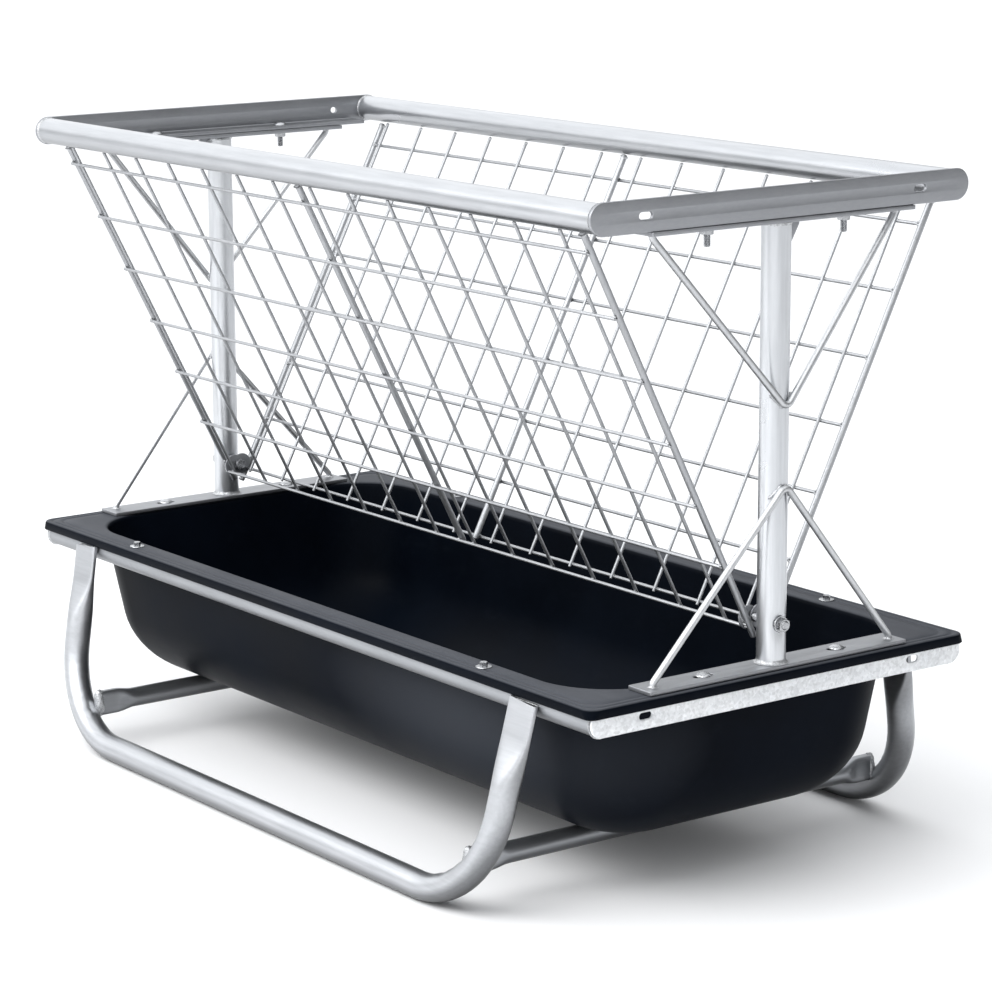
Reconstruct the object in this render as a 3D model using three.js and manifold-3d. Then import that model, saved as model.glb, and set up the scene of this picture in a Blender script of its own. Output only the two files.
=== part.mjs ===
// Hay rack feeder for small livestock: a black plastic trough in a galvanised skid frame, with a
// V-shaped wire hay basket held above it by two end frames.
// Units are millimetres. X runs along the trough, Y across it, Z is up. The origin is on the
// ground, under the middle of the trough. "front" is the -Y side and "left" is the -X end.
import * as THREE from 'three';
import { mergeVertices } from 'three/addons/utils/BufferGeometryUtils.js';
import Module from 'manifold-3d';

const wasm = await Module();
wasm.setup();

// ---- driving dimensions -------------------------------------------------------------------

const FIT = 0.3; // clearance between two pieces that touch or are welded together

// trough
const TUB_HALF_X = 761;
const TUB_HALF_Y = 352.5;
const TUB_TOP_Z = 341;
const TUB_FLOOR_Z = 90;
const TUB_WALL = 5;
const TUB_LIP_DROP = 15;
const TUB_LIP_THICKNESS = 4;
const TUB_CORNER = 20;
const TUB_LIP_CORNER = 14;
const BASIN_HALF_X = 704;
const BASIN_HALF_Y = 301;
const BASIN_CORNER = 115;
const BASIN_TAPER_X = 22;
const BASIN_TAPER_Y = 42;
const BASIN_FLOOR_RADIUS = 96;
const BASIN_MOUTH_RADIUS = 8;

// base ring under the rim of the trough
const RIM_TUBE_OD = 38.1;
const RIM_TUBE_WALL = 2.6;
const RIM_TUBE_Y = 326.4;
const BASE_ANGLE_FACE_X = 755;
const BASE_ANGLE_THICKNESS = 5;
const BASE_ANGLE_HEIGHT = 38.2;
const BASE_ANGLE_SHELF = 43;
const BASE_SHELF_HALF_Y = 300;

// legs and skids, each bent from one tube
const SKID_OD = 42.2;
const SKID_WALL = 3;
const SKID_SIDES = 16;
const SKID_Y = 409.9;
const SKID_LEAN = THREE.MathUtils.degToRad(180 / SKID_SIDES);
const SKID_CORNER_X = 583;
const LEG_TOP_X = 609;
const LEG_TOP_Z = 322.5;
const SKID_BEND_RADIUS = 161;
const LEG_FLAT_LENGTH = 52;
const LEG_FLAT_BLEND = 78;
const LEG_FLAT_THICKNESS = 9;
const LEG_FLAT_WIDTH = 57;

// cross tubes under the trough
const CROSS_TUBE_OD = 32;
const CROSS_TUBE_WALL = 2.6;
const CROSS_TUBE_X = 523;
const CROSS_HALF_Y = 381.5;
const CROSS_FLAT_LENGTH = 26;
const CROSS_FLAT_BLEND = 34;
const CROSS_FLAT_THICKNESS = 16;
const CROSS_FLAT_HEIGHT = 41;

// end frames
const POST_X = 727;
const POST_OD = 42.2;
const POST_WALL = 3;
const STRIP_WIDTH = 50;
const STRIP_HALF_Y = 240;
const STRIP_THICKNESS = 6;
const STRAP_BOTTOM_Z = 976;
const STRIP_BOLT_Y = 125;
const PLATE_SLOT_LENGTH = 34;
const BRACE_ROD = 10;
const LOWER_BRACE_FOOT_X = 733;
const UPPER_BRACE_FOOT_X = 727;
const BRACE_FOOT_Y = 221;
const BRACE_STUB = 5.5;
const BRACE_BEND_RADIUS = 11;
const LOWER_BRACE_APEX_Z = 608;
const UPPER_BRACE_APEX_Z = 716;

// ring around the top of the basket
const RAIL_OD = 42.2;
const RAIL_WALL = 3;
const RAIL_Y = 322;
const RING_FACE_X = 750;
const RING_ANGLE_THICKNESS = 6;
const RING_ANGLE_HEIGHT = 46;
const RING_ANGLE_SHELF = 44;
const RING_SHELF_HALF_Y = 290;
const ANGLE_SLOT_Y = 250;
const ANGLE_SLOT_LENGTH = 23;
const ANGLE_SLOT_HEIGHT = 10;
const LEFT_RING_SLOT_LENGTH = 12;

// wire basket: two sloping panels that meet at the bottom
const PANEL_TOP_Y = 316.4;
const PANEL_TOP_Z = 980.7;
const PANEL_BOTTOM_Y = 14.1;
const PANEL_BOTTOM_Z = 391.1;
const WIRE = 5.2;
const WIRE_WELD = 1;
const WIRE_PITCH = 101.6;
const UPRIGHT_WIRES = 14;
const GRID_OFFSET_X = -12.8;
const FIRST_ROW = 28;
const ROW_PITCH = 104.5;
const ROWS = 7;
const BACK_ROW_DROP = 10.5;
const WIRE_OVERRUN = 7;
const END_ROD_OVERRUN = 24;
const PANEL_ROD = 10;
const END_ROD_X = 693.8;
const ROW_HALF_X = 696;
const BACK_END_ROD_OUT = 6;
const BACK_END_ROD_SHIFT = 3.5;
const EAR_THICKNESS = 3;
const EAR_RADIUS = 17.7;
const EAR_SHIFT = 9;

// fasteners
const BOLT = 10;
const NUT_FLATS = 16;
const NUT_HEIGHT = 8;
const FOOT_BOLT = 12;
const FOOT_NUT_FLATS = 18;
const FOOT_BOLT_Z = 406;
const RIM_BOLT_X = 483;
const RIM_SCREW = 6.4;
const RIM_SCREW_FLATS = 10;
const RIM_SCREW_HEAD = 6;
const RIM_WASHER = 24;
const RIM_WASHER_THICKNESS = 1.6;
const BOLT_CLEARANCE = 1.6;
const STRAP_THREAD_BELOW = 25;
const DOME_RADIUS = 11;
const DOME_HEIGHT = 5;

// worked out from the above
const FLANGE_BOTTOM_Z = TUB_TOP_Z - TUB_WALL;
const RIM_TUBE_Z = FLANGE_BOTTOM_Z - FIT - RIM_TUBE_OD / 2;
const PLATE_BOTTOM_Z = TUB_TOP_Z + FIT;
const PLATE_TOP_Z = PLATE_BOTTOM_Z + STRIP_THICKNESS;
const STRAP_TOP_Z = STRAP_BOTTOM_Z + STRIP_THICKNESS;
const RING_BOTTOM_Z = STRAP_TOP_Z + FIT;
const RAIL_Z = RING_BOTTOM_Z + RING_ANGLE_HEIGHT / 2;
const CROSS_TUBE_Z = TUB_FLOOR_Z - FIT - CROSS_TUBE_OD / 2;
const PANEL_SLOPE = Math.atan2(PANEL_TOP_Y - PANEL_BOTTOM_Y, PANEL_TOP_Z - PANEL_BOTTOM_Z);
const LAST_ROW = FIRST_ROW + ROW_PITCH * (ROWS - 1);
const PANEL_ROD_INSET = PANEL_ROD / 2 + FIT + WIRE_WELD - WIRE / 2;

const ENDS = [['left', -1], ['right', 1]];
const SIDES = [['front', -1], ['back', 1]];

// ---- materials ----------------------------------------------------------------------------

const galvanised = new THREE.MeshStandardMaterial({ color: 0xb4b8bd, roughness: 0.42, metalness: 0.85 });
const spangled = new THREE.MeshStandardMaterial({ color: 0xcfd3d8, roughness: 0.5, metalness: 0.8 });
const blackPoly = new THREE.MeshStandardMaterial({ color: 0x1d2126, roughness: 0.55, metalness: 0 });
const brightZinc = new THREE.MeshStandardMaterial({ color: 0xdde0e4, roughness: 0.25, metalness: 0.95 });

// ---- shape helpers ------------------------------------------------------------------------

function solidOf(geometry) {
  const bare = geometry.clone();
  bare.deleteAttribute('normal');
  bare.deleteAttribute('uv');
  const merged = mergeVertices(bare, 1e-4);
  return new wasm.Manifold(new wasm.Mesh({
    numProp: 3,
    vertProperties: new Float32Array(merged.attributes.position.array),
    triVerts: new Uint32Array(merged.index.array),
  }));
}

function geometryOf(solid) {
  const mesh = solid.getMesh();
  const geometry = new THREE.BufferGeometry();
  geometry.setAttribute('position', new THREE.BufferAttribute(mesh.vertProperties, 3));
  geometry.setIndex(new THREE.BufferAttribute(mesh.triVerts, 1));
  return geometry;
}

function join(geometries) {
  return geometryOf(geometries.map(solidOf).reduce((whole, next) => whole.add(next)));
}

function cut(geometry, tools) {
  return geometryOf(tools.map(solidOf).reduce((rest, tool) => rest.subtract(tool), solidOf(geometry)));
}

function circlePoints(radius, sides, phase = 0, x = 0, y = 0) {
  return Array.from({ length: sides }, (_, i) => {
    const angle = phase + (2 * Math.PI * i) / sides;
    return new THREE.Vector2(x + radius * Math.cos(angle), y + radius * Math.sin(angle));
  });
}

// A slot with round ends along x, or a stadium when it is used as an outline.
function slotPoints(length, width, x = 0, y = 0, arcSteps = 4) {
  const radius = width / 2;
  const points = [];
  for (const [side, start] of [[1, -Math.PI / 2], [-1, Math.PI / 2]]) {
    for (let i = 0; i <= arcSteps; i += 1) {
      const angle = start + (Math.PI * i) / arcSteps;
      const centre = x + side * (length / 2 - radius);
      points.push(new THREE.Vector2(centre + radius * Math.cos(angle), y + radius * Math.sin(angle)));
    }
  }
  return points;
}

function rectangle(lowX, highX, lowY, highY) {
  return [[lowX, lowY], [highX, lowY], [highX, highY], [lowX, highY]]
    .map(([x, y]) => new THREE.Vector2(x, y));
}

function slab(outline, holes, thickness) {
  const shape = new THREE.Shape(outline);
  shape.holes = holes.map((points) => new THREE.Path(points));
  return new THREE.ExtrudeGeometry(shape, { depth: thickness, bevelEnabled: false });
}

// Turns a slab drawn in x and y so that it is drawn in Y and Z and its thickness runs along +X.
function facingX(geometry) {
  const turn = new THREE.Matrix4().makeBasis(
    new THREE.Vector3(0, 1, 0),
    new THREE.Vector3(0, 0, 1),
    new THREE.Vector3(1, 0, 0),
  );
  return geometry.applyMatrix4(turn);
}

// A tube's section, with flats the outer diameter apart.
function ringShape(outer, wall, sides, phase = 0) {
  const shape = new THREE.Shape(circlePoints(outer / 2 / Math.cos(Math.PI / sides), sides, phase));
  shape.holes = [new THREE.Path(circlePoints(outer / 2 - wall, sides / 2, phase))];
  return shape;
}

// A straight pipe along z, centred on the origin, with flats facing x and y.
function pipe(outer, wall, length) {
  const sides = 20;
  const shape = ringShape(outer, wall, sides, Math.PI / sides);
  const geometry = new THREE.ExtrudeGeometry(shape, { depth: length, bevelEnabled: false });
  return geometry.translate(0, 0, -length / 2);
}

function cylinderZ(radius, length, sides = 10) {
  return new THREE.CylinderGeometry(radius, radius, length, sides).rotateX(Math.PI / 2);
}

function cylinderX(radius, length, sides = 10) {
  return new THREE.CylinderGeometry(radius, radius, length, sides).rotateZ(Math.PI / 2);
}

// A path whose sections stand exactly at the stations it is given.
class StationPath extends THREE.Curve {
  constructor(stations) {
    super();
    this.stations = stations;
  }

  stationAt(u) {
    return Math.round(u * (this.stations.length - 1));
  }

  getPoint(t, target = new THREE.Vector3()) {
    return target.copy(this.stations[this.stationAt(t)]);
  }

  getPointAt(u, target) {
    return this.getPoint(u, target);
  }

  getSpacedPoints() {
    return this.stations.map((station) => station.clone());
  }

  getTangentAt(u, target = new THREE.Vector3()) {
    const index = this.stationAt(u);
    const here = this.stations[index];
    const before = this.stations[Math.max(index - 1, 0)];
    const after = this.stations[Math.min(index + 1, this.stations.length - 1)];
    target.copy(here).sub(before).normalize();
    return target.add(after.clone().sub(here).normalize()).normalize();
  }
}

function sweep(shape, stations) {
  const extrudePath = new StationPath(stations);
  return new THREE.ExtrudeGeometry(shape, { steps: stations.length - 1, extrudePath });
}

// Stations along a bent rod: straight between its corners, with an arc at each inner corner.
function bentStations(corners, radius, arcSteps) {
  const stations = [corners[0]];
  for (let i = 1; i < corners.length - 1; i += 1) {
    const back = corners[i - 1].clone().sub(corners[i]).normalize();
    const ahead = corners[i + 1].clone().sub(corners[i]).normalize();
    const halfAngle = back.angleTo(ahead) / 2;
    const inward = back.clone().add(ahead).normalize();
    const centre = corners[i].clone().addScaledVector(inward, radius / Math.sin(halfAngle));
    const startArm = corners[i].clone().addScaledVector(back, radius / Math.tan(halfAngle)).sub(centre);
    const endArm = corners[i].clone().addScaledVector(ahead, radius / Math.tan(halfAngle)).sub(centre);
    const turn = Math.PI - 2 * halfAngle;
    for (let k = 0; k <= arcSteps; k += 1) {
      const share = k / arcSteps;
      const point = centre.clone().addScaledVector(startArm, Math.sin((1 - share) * turn) / Math.sin(turn));
      stations.push(point.addScaledVector(endArm, Math.sin(share * turn) / Math.sin(turn)));
    }
  }
  stations.push(corners[corners.length - 1]);
  return stations;
}

// Scales a tube's section smoothly from round to flat over the blend before its flat end.
function flatness(fromEnd, flatLength, blend) {
  return 1 - THREE.MathUtils.smoothstep(fromEnd, flatLength, flatLength + blend);
}

function reshape(geometry, move) {
  const positions = geometry.attributes.position;
  const point = new THREE.Vector3();
  for (let i = 0; i < positions.count; i += 1) {
    move(point.fromBufferAttribute(positions, i));
    positions.setXYZ(i, point.x, point.y, point.z);
  }
  return geometry;
}

// A closed skin over a stack of rings that have the same number of points, capped at both ends.
function loft(rings) {
  const perRing = rings[0].length;
  const points = rings.flat();
  const lastStart = points.length - perRing;
  const caps = [rings[0], rings[rings.length - 1]].map((ring) => {
    const centre = ring.reduce((sum, point) => sum.add(point), new THREE.Vector3());
    return centre.divideScalar(perRing);
  });
  const faces = [];
  for (let j = 0; j < perRing; j += 1) {
    const k = (j + 1) % perRing;
    faces.push(points.length, k, j);
    faces.push(points.length + 1, lastStart + j, lastStart + k);
    for (let i = 0; i < rings.length - 1; i += 1) {
      const low = i * perRing;
      const high = low + perRing;
      faces.push(low + j, low + k, high + k);
      faces.push(low + j, high + k, high + j);
    }
  }
  const geometry = new THREE.BufferGeometry().setFromPoints([...points, ...caps]);
  geometry.setIndex(faces);
  return geometry;
}

// ---- fasteners ----------------------------------------------------------------------------

// The corner radius of a hexagon whose flats are this far apart.
function hexRadius(flats) {
  return flats / 2 / Math.cos(Math.PI / 6);
}

// A round-head carriage bolt along z, its head's underside at z = 0.
function carriageBolt(diameter, shankLength) {
  const profile = [
    [0, -shankLength], [diameter / 2, -shankLength], [diameter / 2, 0], [DOME_RADIUS, 0],
    [DOME_RADIUS * 0.8, DOME_HEIGHT * 0.62], [DOME_RADIUS * 0.45, DOME_HEIGHT * 0.92], [0, DOME_HEIGHT],
  ];
  const lathe = new THREE.LatheGeometry(profile.map(([r, z]) => new THREE.Vector2(r, z)), 10);
  return lathe.rotateX(Math.PI / 2);
}

function hexNut(diameter, flats, height) {
  const hole = circlePoints((diameter + BOLT_CLEARANCE) / 2, 10);
  return slab(circlePoints(hexRadius(flats), 6), [hole], height);
}

// ---- sub-parts ----------------------------------------------------------------------------

function roundedRing(halfX, halfY, corner, z) {
  const arcSteps = 5;
  const points = [];
  for (let quarter = 0; quarter < 4; quarter += 1) {
    const signX = quarter === 0 || quarter === 3 ? 1 : -1;
    const signY = quarter < 2 ? 1 : -1;
    for (let i = 0; i <= arcSteps; i += 1) {
      const angle = (Math.PI / 2) * (quarter + i / arcSteps);
      const x = signX * (halfX - corner) + corner * Math.cos(angle);
      const y = signY * (halfY - corner) + corner * Math.sin(angle);
      points.push(new THREE.Vector3(x, y, z));
    }
  }
  return points;
}

// Rings of the basin wall, from the floor's flat edge up to just below the mouth. grow is the
// distance of the surface outside the inner face of the wall.
function basinRings(grow) {
  const floorZ = TUB_FLOOR_Z + TUB_WALL - grow;
  const radius = BASIN_FLOOR_RADIUS + grow;
  const mouthZ = TUB_TOP_Z - BASIN_MOUTH_RADIUS;
  const depth = mouthZ - floorZ;
  const rings = [];
  const wallRing = (inset, z) => {
    const along = (mouthZ - z) / depth;
    const halfX = BASIN_HALF_X + grow - BASIN_TAPER_X * along - inset;
    const halfY = BASIN_HALF_Y + grow - BASIN_TAPER_Y * along - inset;
    return roundedRing(halfX, halfY, BASIN_CORNER + grow - inset * 0.8, z);
  };
  const arcSteps = 4;
  for (let i = 0; i <= arcSteps; i += 1) {
    const angle = (Math.PI / 2) * (i / arcSteps);
    rings.push(wallRing(radius * (1 - Math.sin(angle)), floorZ + radius * (1 - Math.cos(angle))));
  }
  return rings;
}

function troughTub() {
  const innerMouthZ = TUB_TOP_Z - BASIN_MOUTH_RADIUS;
  const outerHalfX = BASIN_HALF_X + TUB_WALL;
  const outerHalfY = BASIN_HALF_Y + TUB_WALL;
  const lipInnerX = TUB_HALF_X - TUB_LIP_THICKNESS;
  const lipInnerY = TUB_HALF_Y - TUB_LIP_THICKNESS;
  const lipZ = TUB_TOP_Z - TUB_LIP_DROP;
  const edge = 2;
  const mouthX = BASIN_HALF_X + BASIN_MOUTH_RADIUS;
  const mouthY = BASIN_HALF_Y + BASIN_MOUTH_RADIUS;
  const rings = [
    ...basinRings(TUB_WALL),
    roundedRing(outerHalfX, outerHalfY, BASIN_CORNER + TUB_WALL, FLANGE_BOTTOM_Z),
    roundedRing(lipInnerX, lipInnerY, TUB_LIP_CORNER - TUB_LIP_THICKNESS, FLANGE_BOTTOM_Z),
    roundedRing(lipInnerX, lipInnerY, TUB_LIP_CORNER - TUB_LIP_THICKNESS, lipZ),
    roundedRing(TUB_HALF_X, TUB_HALF_Y, TUB_LIP_CORNER, lipZ),
    roundedRing(TUB_HALF_X, TUB_HALF_Y, TUB_CORNER, TUB_TOP_Z - edge),
    roundedRing(TUB_HALF_X - edge, TUB_HALF_Y - edge, TUB_CORNER - edge, TUB_TOP_Z),
    roundedRing(mouthX, mouthY, BASIN_CORNER + BASIN_MOUTH_RADIUS, TUB_TOP_Z),
    roundedRing(BASIN_HALF_X, BASIN_HALF_Y, BASIN_CORNER, innerMouthZ),
    ...basinRings(0).reverse(),
  ];
  const holes = [];
  for (const [, end] of ENDS) {
    for (const [, side] of SIDES) {
      const rimTool = cylinderZ((RIM_SCREW + BOLT_CLEARANCE) / 2, 4 * TUB_WALL);
      const plateTool = cylinderZ((BOLT + BOLT_CLEARANCE) / 2, 4 * TUB_WALL);
      holes.push(rimTool.translate(end * RIM_BOLT_X, side * RIM_TUBE_Y, TUB_TOP_Z));
      holes.push(plateTool.translate(end * POST_X, side * STRIP_BOLT_Y, TUB_TOP_Z));
    }
  }
  return cut(loft(rings), holes);
}

// The rim screws bite through the upper wall only.
function rimTube() {
  const length = 2 * (BASE_ANGLE_FACE_X - BASE_ANGLE_THICKNESS - FIT);
  const tube = pipe(RIM_TUBE_OD, RIM_TUBE_WALL, length).rotateY(Math.PI / 2);
  const hole = cylinderZ((RIM_SCREW + BOLT_CLEARANCE) / 2, RIM_TUBE_OD).translate(0, 0, RIM_TUBE_OD / 2);
  return cut(tube, [-RIM_BOLT_X, RIM_BOLT_X].map((x) => hole.clone().translate(x, 0, 0)));
}

function angleSlots(length) {
  return [-ANGLE_SLOT_Y, ANGLE_SLOT_Y].map((y) => slotPoints(length, ANGLE_SLOT_HEIGHT, y));
}

// An end angle for the right end, centred on the height of its upright face: the face has round
// ends and two slots, and a level leg runs inwards with two bolt holes.
function endAngle({ faceX, halfY, height, thickness, slotLength, shelfWidth, shelfHalfY, shelfZ }) {
  const face = facingX(slab(slotPoints(2 * halfY, height, 0, 0, 8), angleSlots(slotLength), thickness));
  face.translate(faceX - thickness, 0, 0);
  const holes = [-STRIP_BOLT_Y, STRIP_BOLT_Y].map((y) => (
    circlePoints((BOLT + BOLT_CLEARANCE) / 2, 10, 0, POST_X, y)
  ));
  const outline = rectangle(faceX - shelfWidth, faceX - thickness / 2, -shelfHalfY, shelfHalfY);
  const shelf = slab(outline, holes, thickness).translate(0, 0, shelfZ);
  return join([face, shelf]);
}

function baseAngle() {
  return endAngle({
    faceX: BASE_ANGLE_FACE_X,
    halfY: RIM_TUBE_Y + BASE_ANGLE_HEIGHT / 2,
    height: BASE_ANGLE_HEIGHT,
    thickness: BASE_ANGLE_THICKNESS,
    slotLength: ANGLE_SLOT_LENGTH,
    shelfWidth: BASE_ANGLE_SHELF,
    shelfHalfY: BASE_SHELF_HALF_Y,
    shelfZ: BASE_ANGLE_HEIGHT / 2 - BASE_ANGLE_THICKNESS,
  });
}

function ringAngle(slotLength) {
  return endAngle({
    faceX: RING_FACE_X,
    halfY: RAIL_Y + RING_ANGLE_HEIGHT / 2,
    height: RING_ANGLE_HEIGHT,
    thickness: RING_ANGLE_THICKNESS,
    slotLength,
    shelfWidth: RING_ANGLE_SHELF,
    shelfHalfY: RING_SHELF_HALF_Y,
    shelfZ: -RING_ANGLE_HEIGHT / 2,
  });
}

// Leg, skid and leg in one bent tube, drawn upright in x and z around the middle of the skid.
function legSkid() {
  const legHeight = (LEG_TOP_Z - SKID_OD / 2) / Math.cos(SKID_LEAN);
  const corners = [[-LEG_TOP_X, legHeight], [-SKID_CORNER_X, 0], [SKID_CORNER_X, 0], [LEG_TOP_X, legHeight]]
    .map(([x, z]) => new THREE.Vector3(x, 0, z));
  const bent = bentStations(corners, SKID_BEND_RADIUS, 6);
  const blendSteps = [0.55, 1, 1.4, 1.9, 2.5];
  const legStations = blendSteps.map((step) => {
    const share = (step * LEG_FLAT_LENGTH) / legHeight;
    return corners[0].clone().lerp(corners[1], share);
  });
  const mirrored = legStations.map((point) => new THREE.Vector3(-point.x, 0, point.z)).reverse();
  const stations = [bent[0], ...legStations, ...bent.slice(1, -1), ...mirrored, bent[bent.length - 1]];
  const tube = sweep(ringShape(SKID_OD, SKID_WALL, SKID_SIDES), stations);
  return reshape(tube, (point) => {
    const flat = flatness(legHeight - point.z, LEG_FLAT_LENGTH, LEG_FLAT_BLEND);
    const lean = (LEG_TOP_X - SKID_CORNER_X) * (point.z / legHeight);
    const axisX = Math.sign(point.x) * (SKID_CORNER_X + lean);
    point.x = axisX + (point.x - axisX) * THREE.MathUtils.lerp(1, LEG_FLAT_WIDTH / SKID_OD, flat);
    point.y *= THREE.MathUtils.lerp(1, LEG_FLAT_THICKNESS / SKID_OD, flat);
  });
}

function crossTube() {
  const inner = CROSS_HALF_Y - CROSS_FLAT_LENGTH;
  const round = inner - CROSS_FLAT_BLEND;
  const middle = (inner + round) / 2;
  const stations = [-CROSS_HALF_Y, -inner, -middle, -round, round, middle, inner, CROSS_HALF_Y]
    .map((y) => new THREE.Vector3(0, y, 0));
  const sides = 16;
  const tube = sweep(ringShape(CROSS_TUBE_OD, CROSS_TUBE_WALL, sides, Math.PI / sides), stations);
  return reshape(tube, (point) => {
    const flat = flatness(CROSS_HALF_Y - Math.abs(point.y), CROSS_FLAT_LENGTH, CROSS_FLAT_BLEND);
    point.x *= THREE.MathUtils.lerp(1, CROSS_FLAT_THICKNESS / CROSS_TUBE_OD, flat);
    point.z *= THREE.MathUtils.lerp(1, CROSS_FLAT_HEIGHT / CROSS_TUBE_OD, flat);
  });
}

function strip(holes) {
  const outline = rectangle(-STRIP_WIDTH / 2, STRIP_WIDTH / 2, -STRIP_HALF_Y, STRIP_HALF_Y);
  return slab(outline, holes, STRIP_THICKNESS);
}

function endPlate() {
  const slots = [-STRIP_BOLT_Y, STRIP_BOLT_Y].map((y) => (
    slotPoints(PLATE_SLOT_LENGTH, BOLT + BOLT_CLEARANCE, y).map((point) => new THREE.Vector2(-point.y, point.x))
  ));
  return strip(slots);
}

function topStrap() {
  return strip([-STRIP_BOLT_Y, STRIP_BOLT_Y].map((y) => (
    circlePoints((BOLT + BOLT_CLEARANCE) / 2, 10, 0, 0, y)
  )));
}

function post() {
  const bottom = PLATE_TOP_Z + FIT;
  const top = STRAP_BOTTOM_Z - FIT;
  const tube = pipe(POST_OD, POST_WALL, top - bottom).translate(0, 0, (top + bottom) / 2);
  const hole = cylinderX((FOOT_BOLT + BOLT_CLEARANCE) / 2, 2 * POST_OD, 12);
  return cut(tube, [hole.translate(0, 0, FOOT_BOLT_Z)]);
}

// A V of bent rod: two short upright stubs, two arms and a tight bend against the post.
// Points are given as distance outwards from the post's axis, then Y and Z.
function brace(baseX, baseZ, apexZ) {
  const away = Math.sign(apexZ - baseZ);
  const footX = baseX - POST_X;
  const apexX = (POST_OD + BRACE_ROD) / 2 + 3 * FIT;
  const start = baseZ + away * FIT;
  const corners = [
    [footX, -BRACE_FOOT_Y, start], [footX, -BRACE_FOOT_Y, start + away * BRACE_STUB],
    [apexX, 0, apexZ],
    [footX, BRACE_FOOT_Y, start + away * BRACE_STUB], [footX, BRACE_FOOT_Y, start],
  ].map(([x, y, z]) => new THREE.Vector3(x, y, z));
  const shape = new THREE.Shape(circlePoints(BRACE_ROD / 2, 8));
  return sweep(shape, bentStations(corners, BRACE_BEND_RADIUS, 3));
}

function postGusset() {
  const root = POST_OD / 2 + FIT;
  const top = STRAP_BOTTOM_Z - FIT;
  const outline = [[root, top - 30], [root + 5, top - 30], [root + 19, top - 6], [root + 19, top], [root, top]];
  const thickness = 5;
  const plate = slab(outline.map(([y, z]) => new THREE.Vector2(y, z)), [], thickness);
  return facingX(plate).translate(-thickness / 2, 0, 0);
}

function topRail() {
  const length = 2 * (RING_FACE_X - RING_ANGLE_THICKNESS - FIT);
  return pipe(RAIL_OD, RAIL_WALL, length).rotateY(Math.PI / 2);
}

// The back panel's end rods are further out, so that its lugs pass outside the front panel's.
function endRodX(side) {
  return END_ROD_X + (side > 0 ? BACK_END_ROD_SHIFT : 0);
}

// One welded wire grid, drawn flat: x along the basket and z up the slope, with the uprights'
// axes in the plane y = 0. The long wires lie on the outer face of the uprights, which is
// towards +y where side is 1 and towards -y where it is -1. All but the lowest sit further down
// on the back grid, and there they stop against the inner sides of the end rods. The lowest stops
// against the lugs.
function wireGrid(side) {
  const uprightTop = 2.5;
  const uprightBottom = -(LAST_ROW + WIRE_OVERRUN);
  const uprights = Array.from({ length: UPRIGHT_WIRES }, (_, i) => {
    const x = (i - (UPRIGHT_WIRES - 1) / 2) * WIRE_PITCH + GRID_OFFSET_X;
    const wire = new THREE.BoxGeometry(WIRE, WIRE, uprightTop - uprightBottom);
    return wire.translate(x, 0, (uprightTop + uprightBottom) / 2);
  });
  const rodInside = endRodX(side) - PANEL_ROD / 2 - FIT;
  const rows = Array.from({ length: ROWS }, (_, i) => {
    const lowest = i === ROWS - 1;
    const upperHalfX = side > 0 ? rodInside : ROW_HALF_X;
    const halfX = lowest ? rodInside - EAR_THICKNESS - FIT : upperHalfX;
    const wire = new THREE.BoxGeometry(2 * halfX, WIRE, WIRE);
    const drop = side > 0 && !lowest ? BACK_ROW_DROP : 0;
    return wire.translate(0, side * (WIRE - WIRE_WELD), -(FIRST_ROW + ROW_PITCH * i + drop));
  });
  return join([...uprights, ...rows]);
}

// A heavier upright rod, its axis this far outwards from the plane of the uprights' axes.
function panelRod(outwards, bottom) {
  const top = 2;
  const rod = cylinderZ(PANEL_ROD / 2, top + bottom);
  return rod.translate(0, outwards, (top - bottom) / 2);
}

// A lug on the foot of a panel: a round disc against the inner side of the end rod, with the foot
// bolt through it off its centre. Drawn for the back panel, around the bolt's axis.
function panelEar() {
  const hole = circlePoints((FOOT_BOLT + BOLT_CLEARANCE) / 2, 12);
  const disc = slab(circlePoints(EAR_RADIUS, 20, 0, EAR_SHIFT, 0), [hole], EAR_THICKNESS);
  return facingX(disc).translate(-EAR_THICKNESS / 2, 0, 0);
}

// The rim bolt is a hex screw with a broad washer. It goes down through the flange and the upper
// wall of the rim tube, and its tip is inside the tube.
function rimBolt() {
  const washerZ = TUB_TOP_Z + FIT;
  const headZ = washerZ + RIM_WASHER_THICKNESS - FIT;
  const shankTop = headZ + RIM_SCREW_HEAD / 2;
  const length = shankTop - RIM_TUBE_Z;
  const shank = cylinderZ(RIM_SCREW / 2, length).translate(0, 0, RIM_TUBE_Z + length / 2);
  const washer = cylinderZ(RIM_WASHER / 2, RIM_WASHER_THICKNESS, 16);
  washer.translate(0, 0, washerZ + RIM_WASHER_THICKNESS / 2);
  const head = cylinderZ(hexRadius(RIM_SCREW_FLATS), RIM_SCREW_HEAD, 6);
  return join([shank, washer, head.translate(0, 0, headZ + RIM_SCREW_HEAD / 2)]);
}

// Dome head on the end plate, nut under the base angle's level leg.
function plateBolt() {
  const gripBottom = RIM_TUBE_Z + BASE_ANGLE_HEIGHT / 2 - BASE_ANGLE_THICKNESS - FIT;
  const headZ = PLATE_TOP_Z + FIT;
  const bolt = carriageBolt(BOLT, headZ - gripBottom + NUT_HEIGHT + 6).translate(0, 0, headZ);
  const nut = cylinderZ(hexRadius(NUT_FLATS), NUT_HEIGHT, 6).translate(0, 0, gripBottom - NUT_HEIGHT / 2);
  return join([bolt, nut]);
}

function strapBolt() {
  const headZ = RING_BOTTOM_Z + RING_ANGLE_THICKNESS + FIT;
  const shank = headZ - STRAP_BOTTOM_Z + STRAP_THREAD_BELOW;
  return carriageBolt(BOLT, shank).translate(0, 0, headZ);
}

function strapNut() {
  return hexNut(BOLT, NUT_FLATS, NUT_HEIGHT);
}

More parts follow.
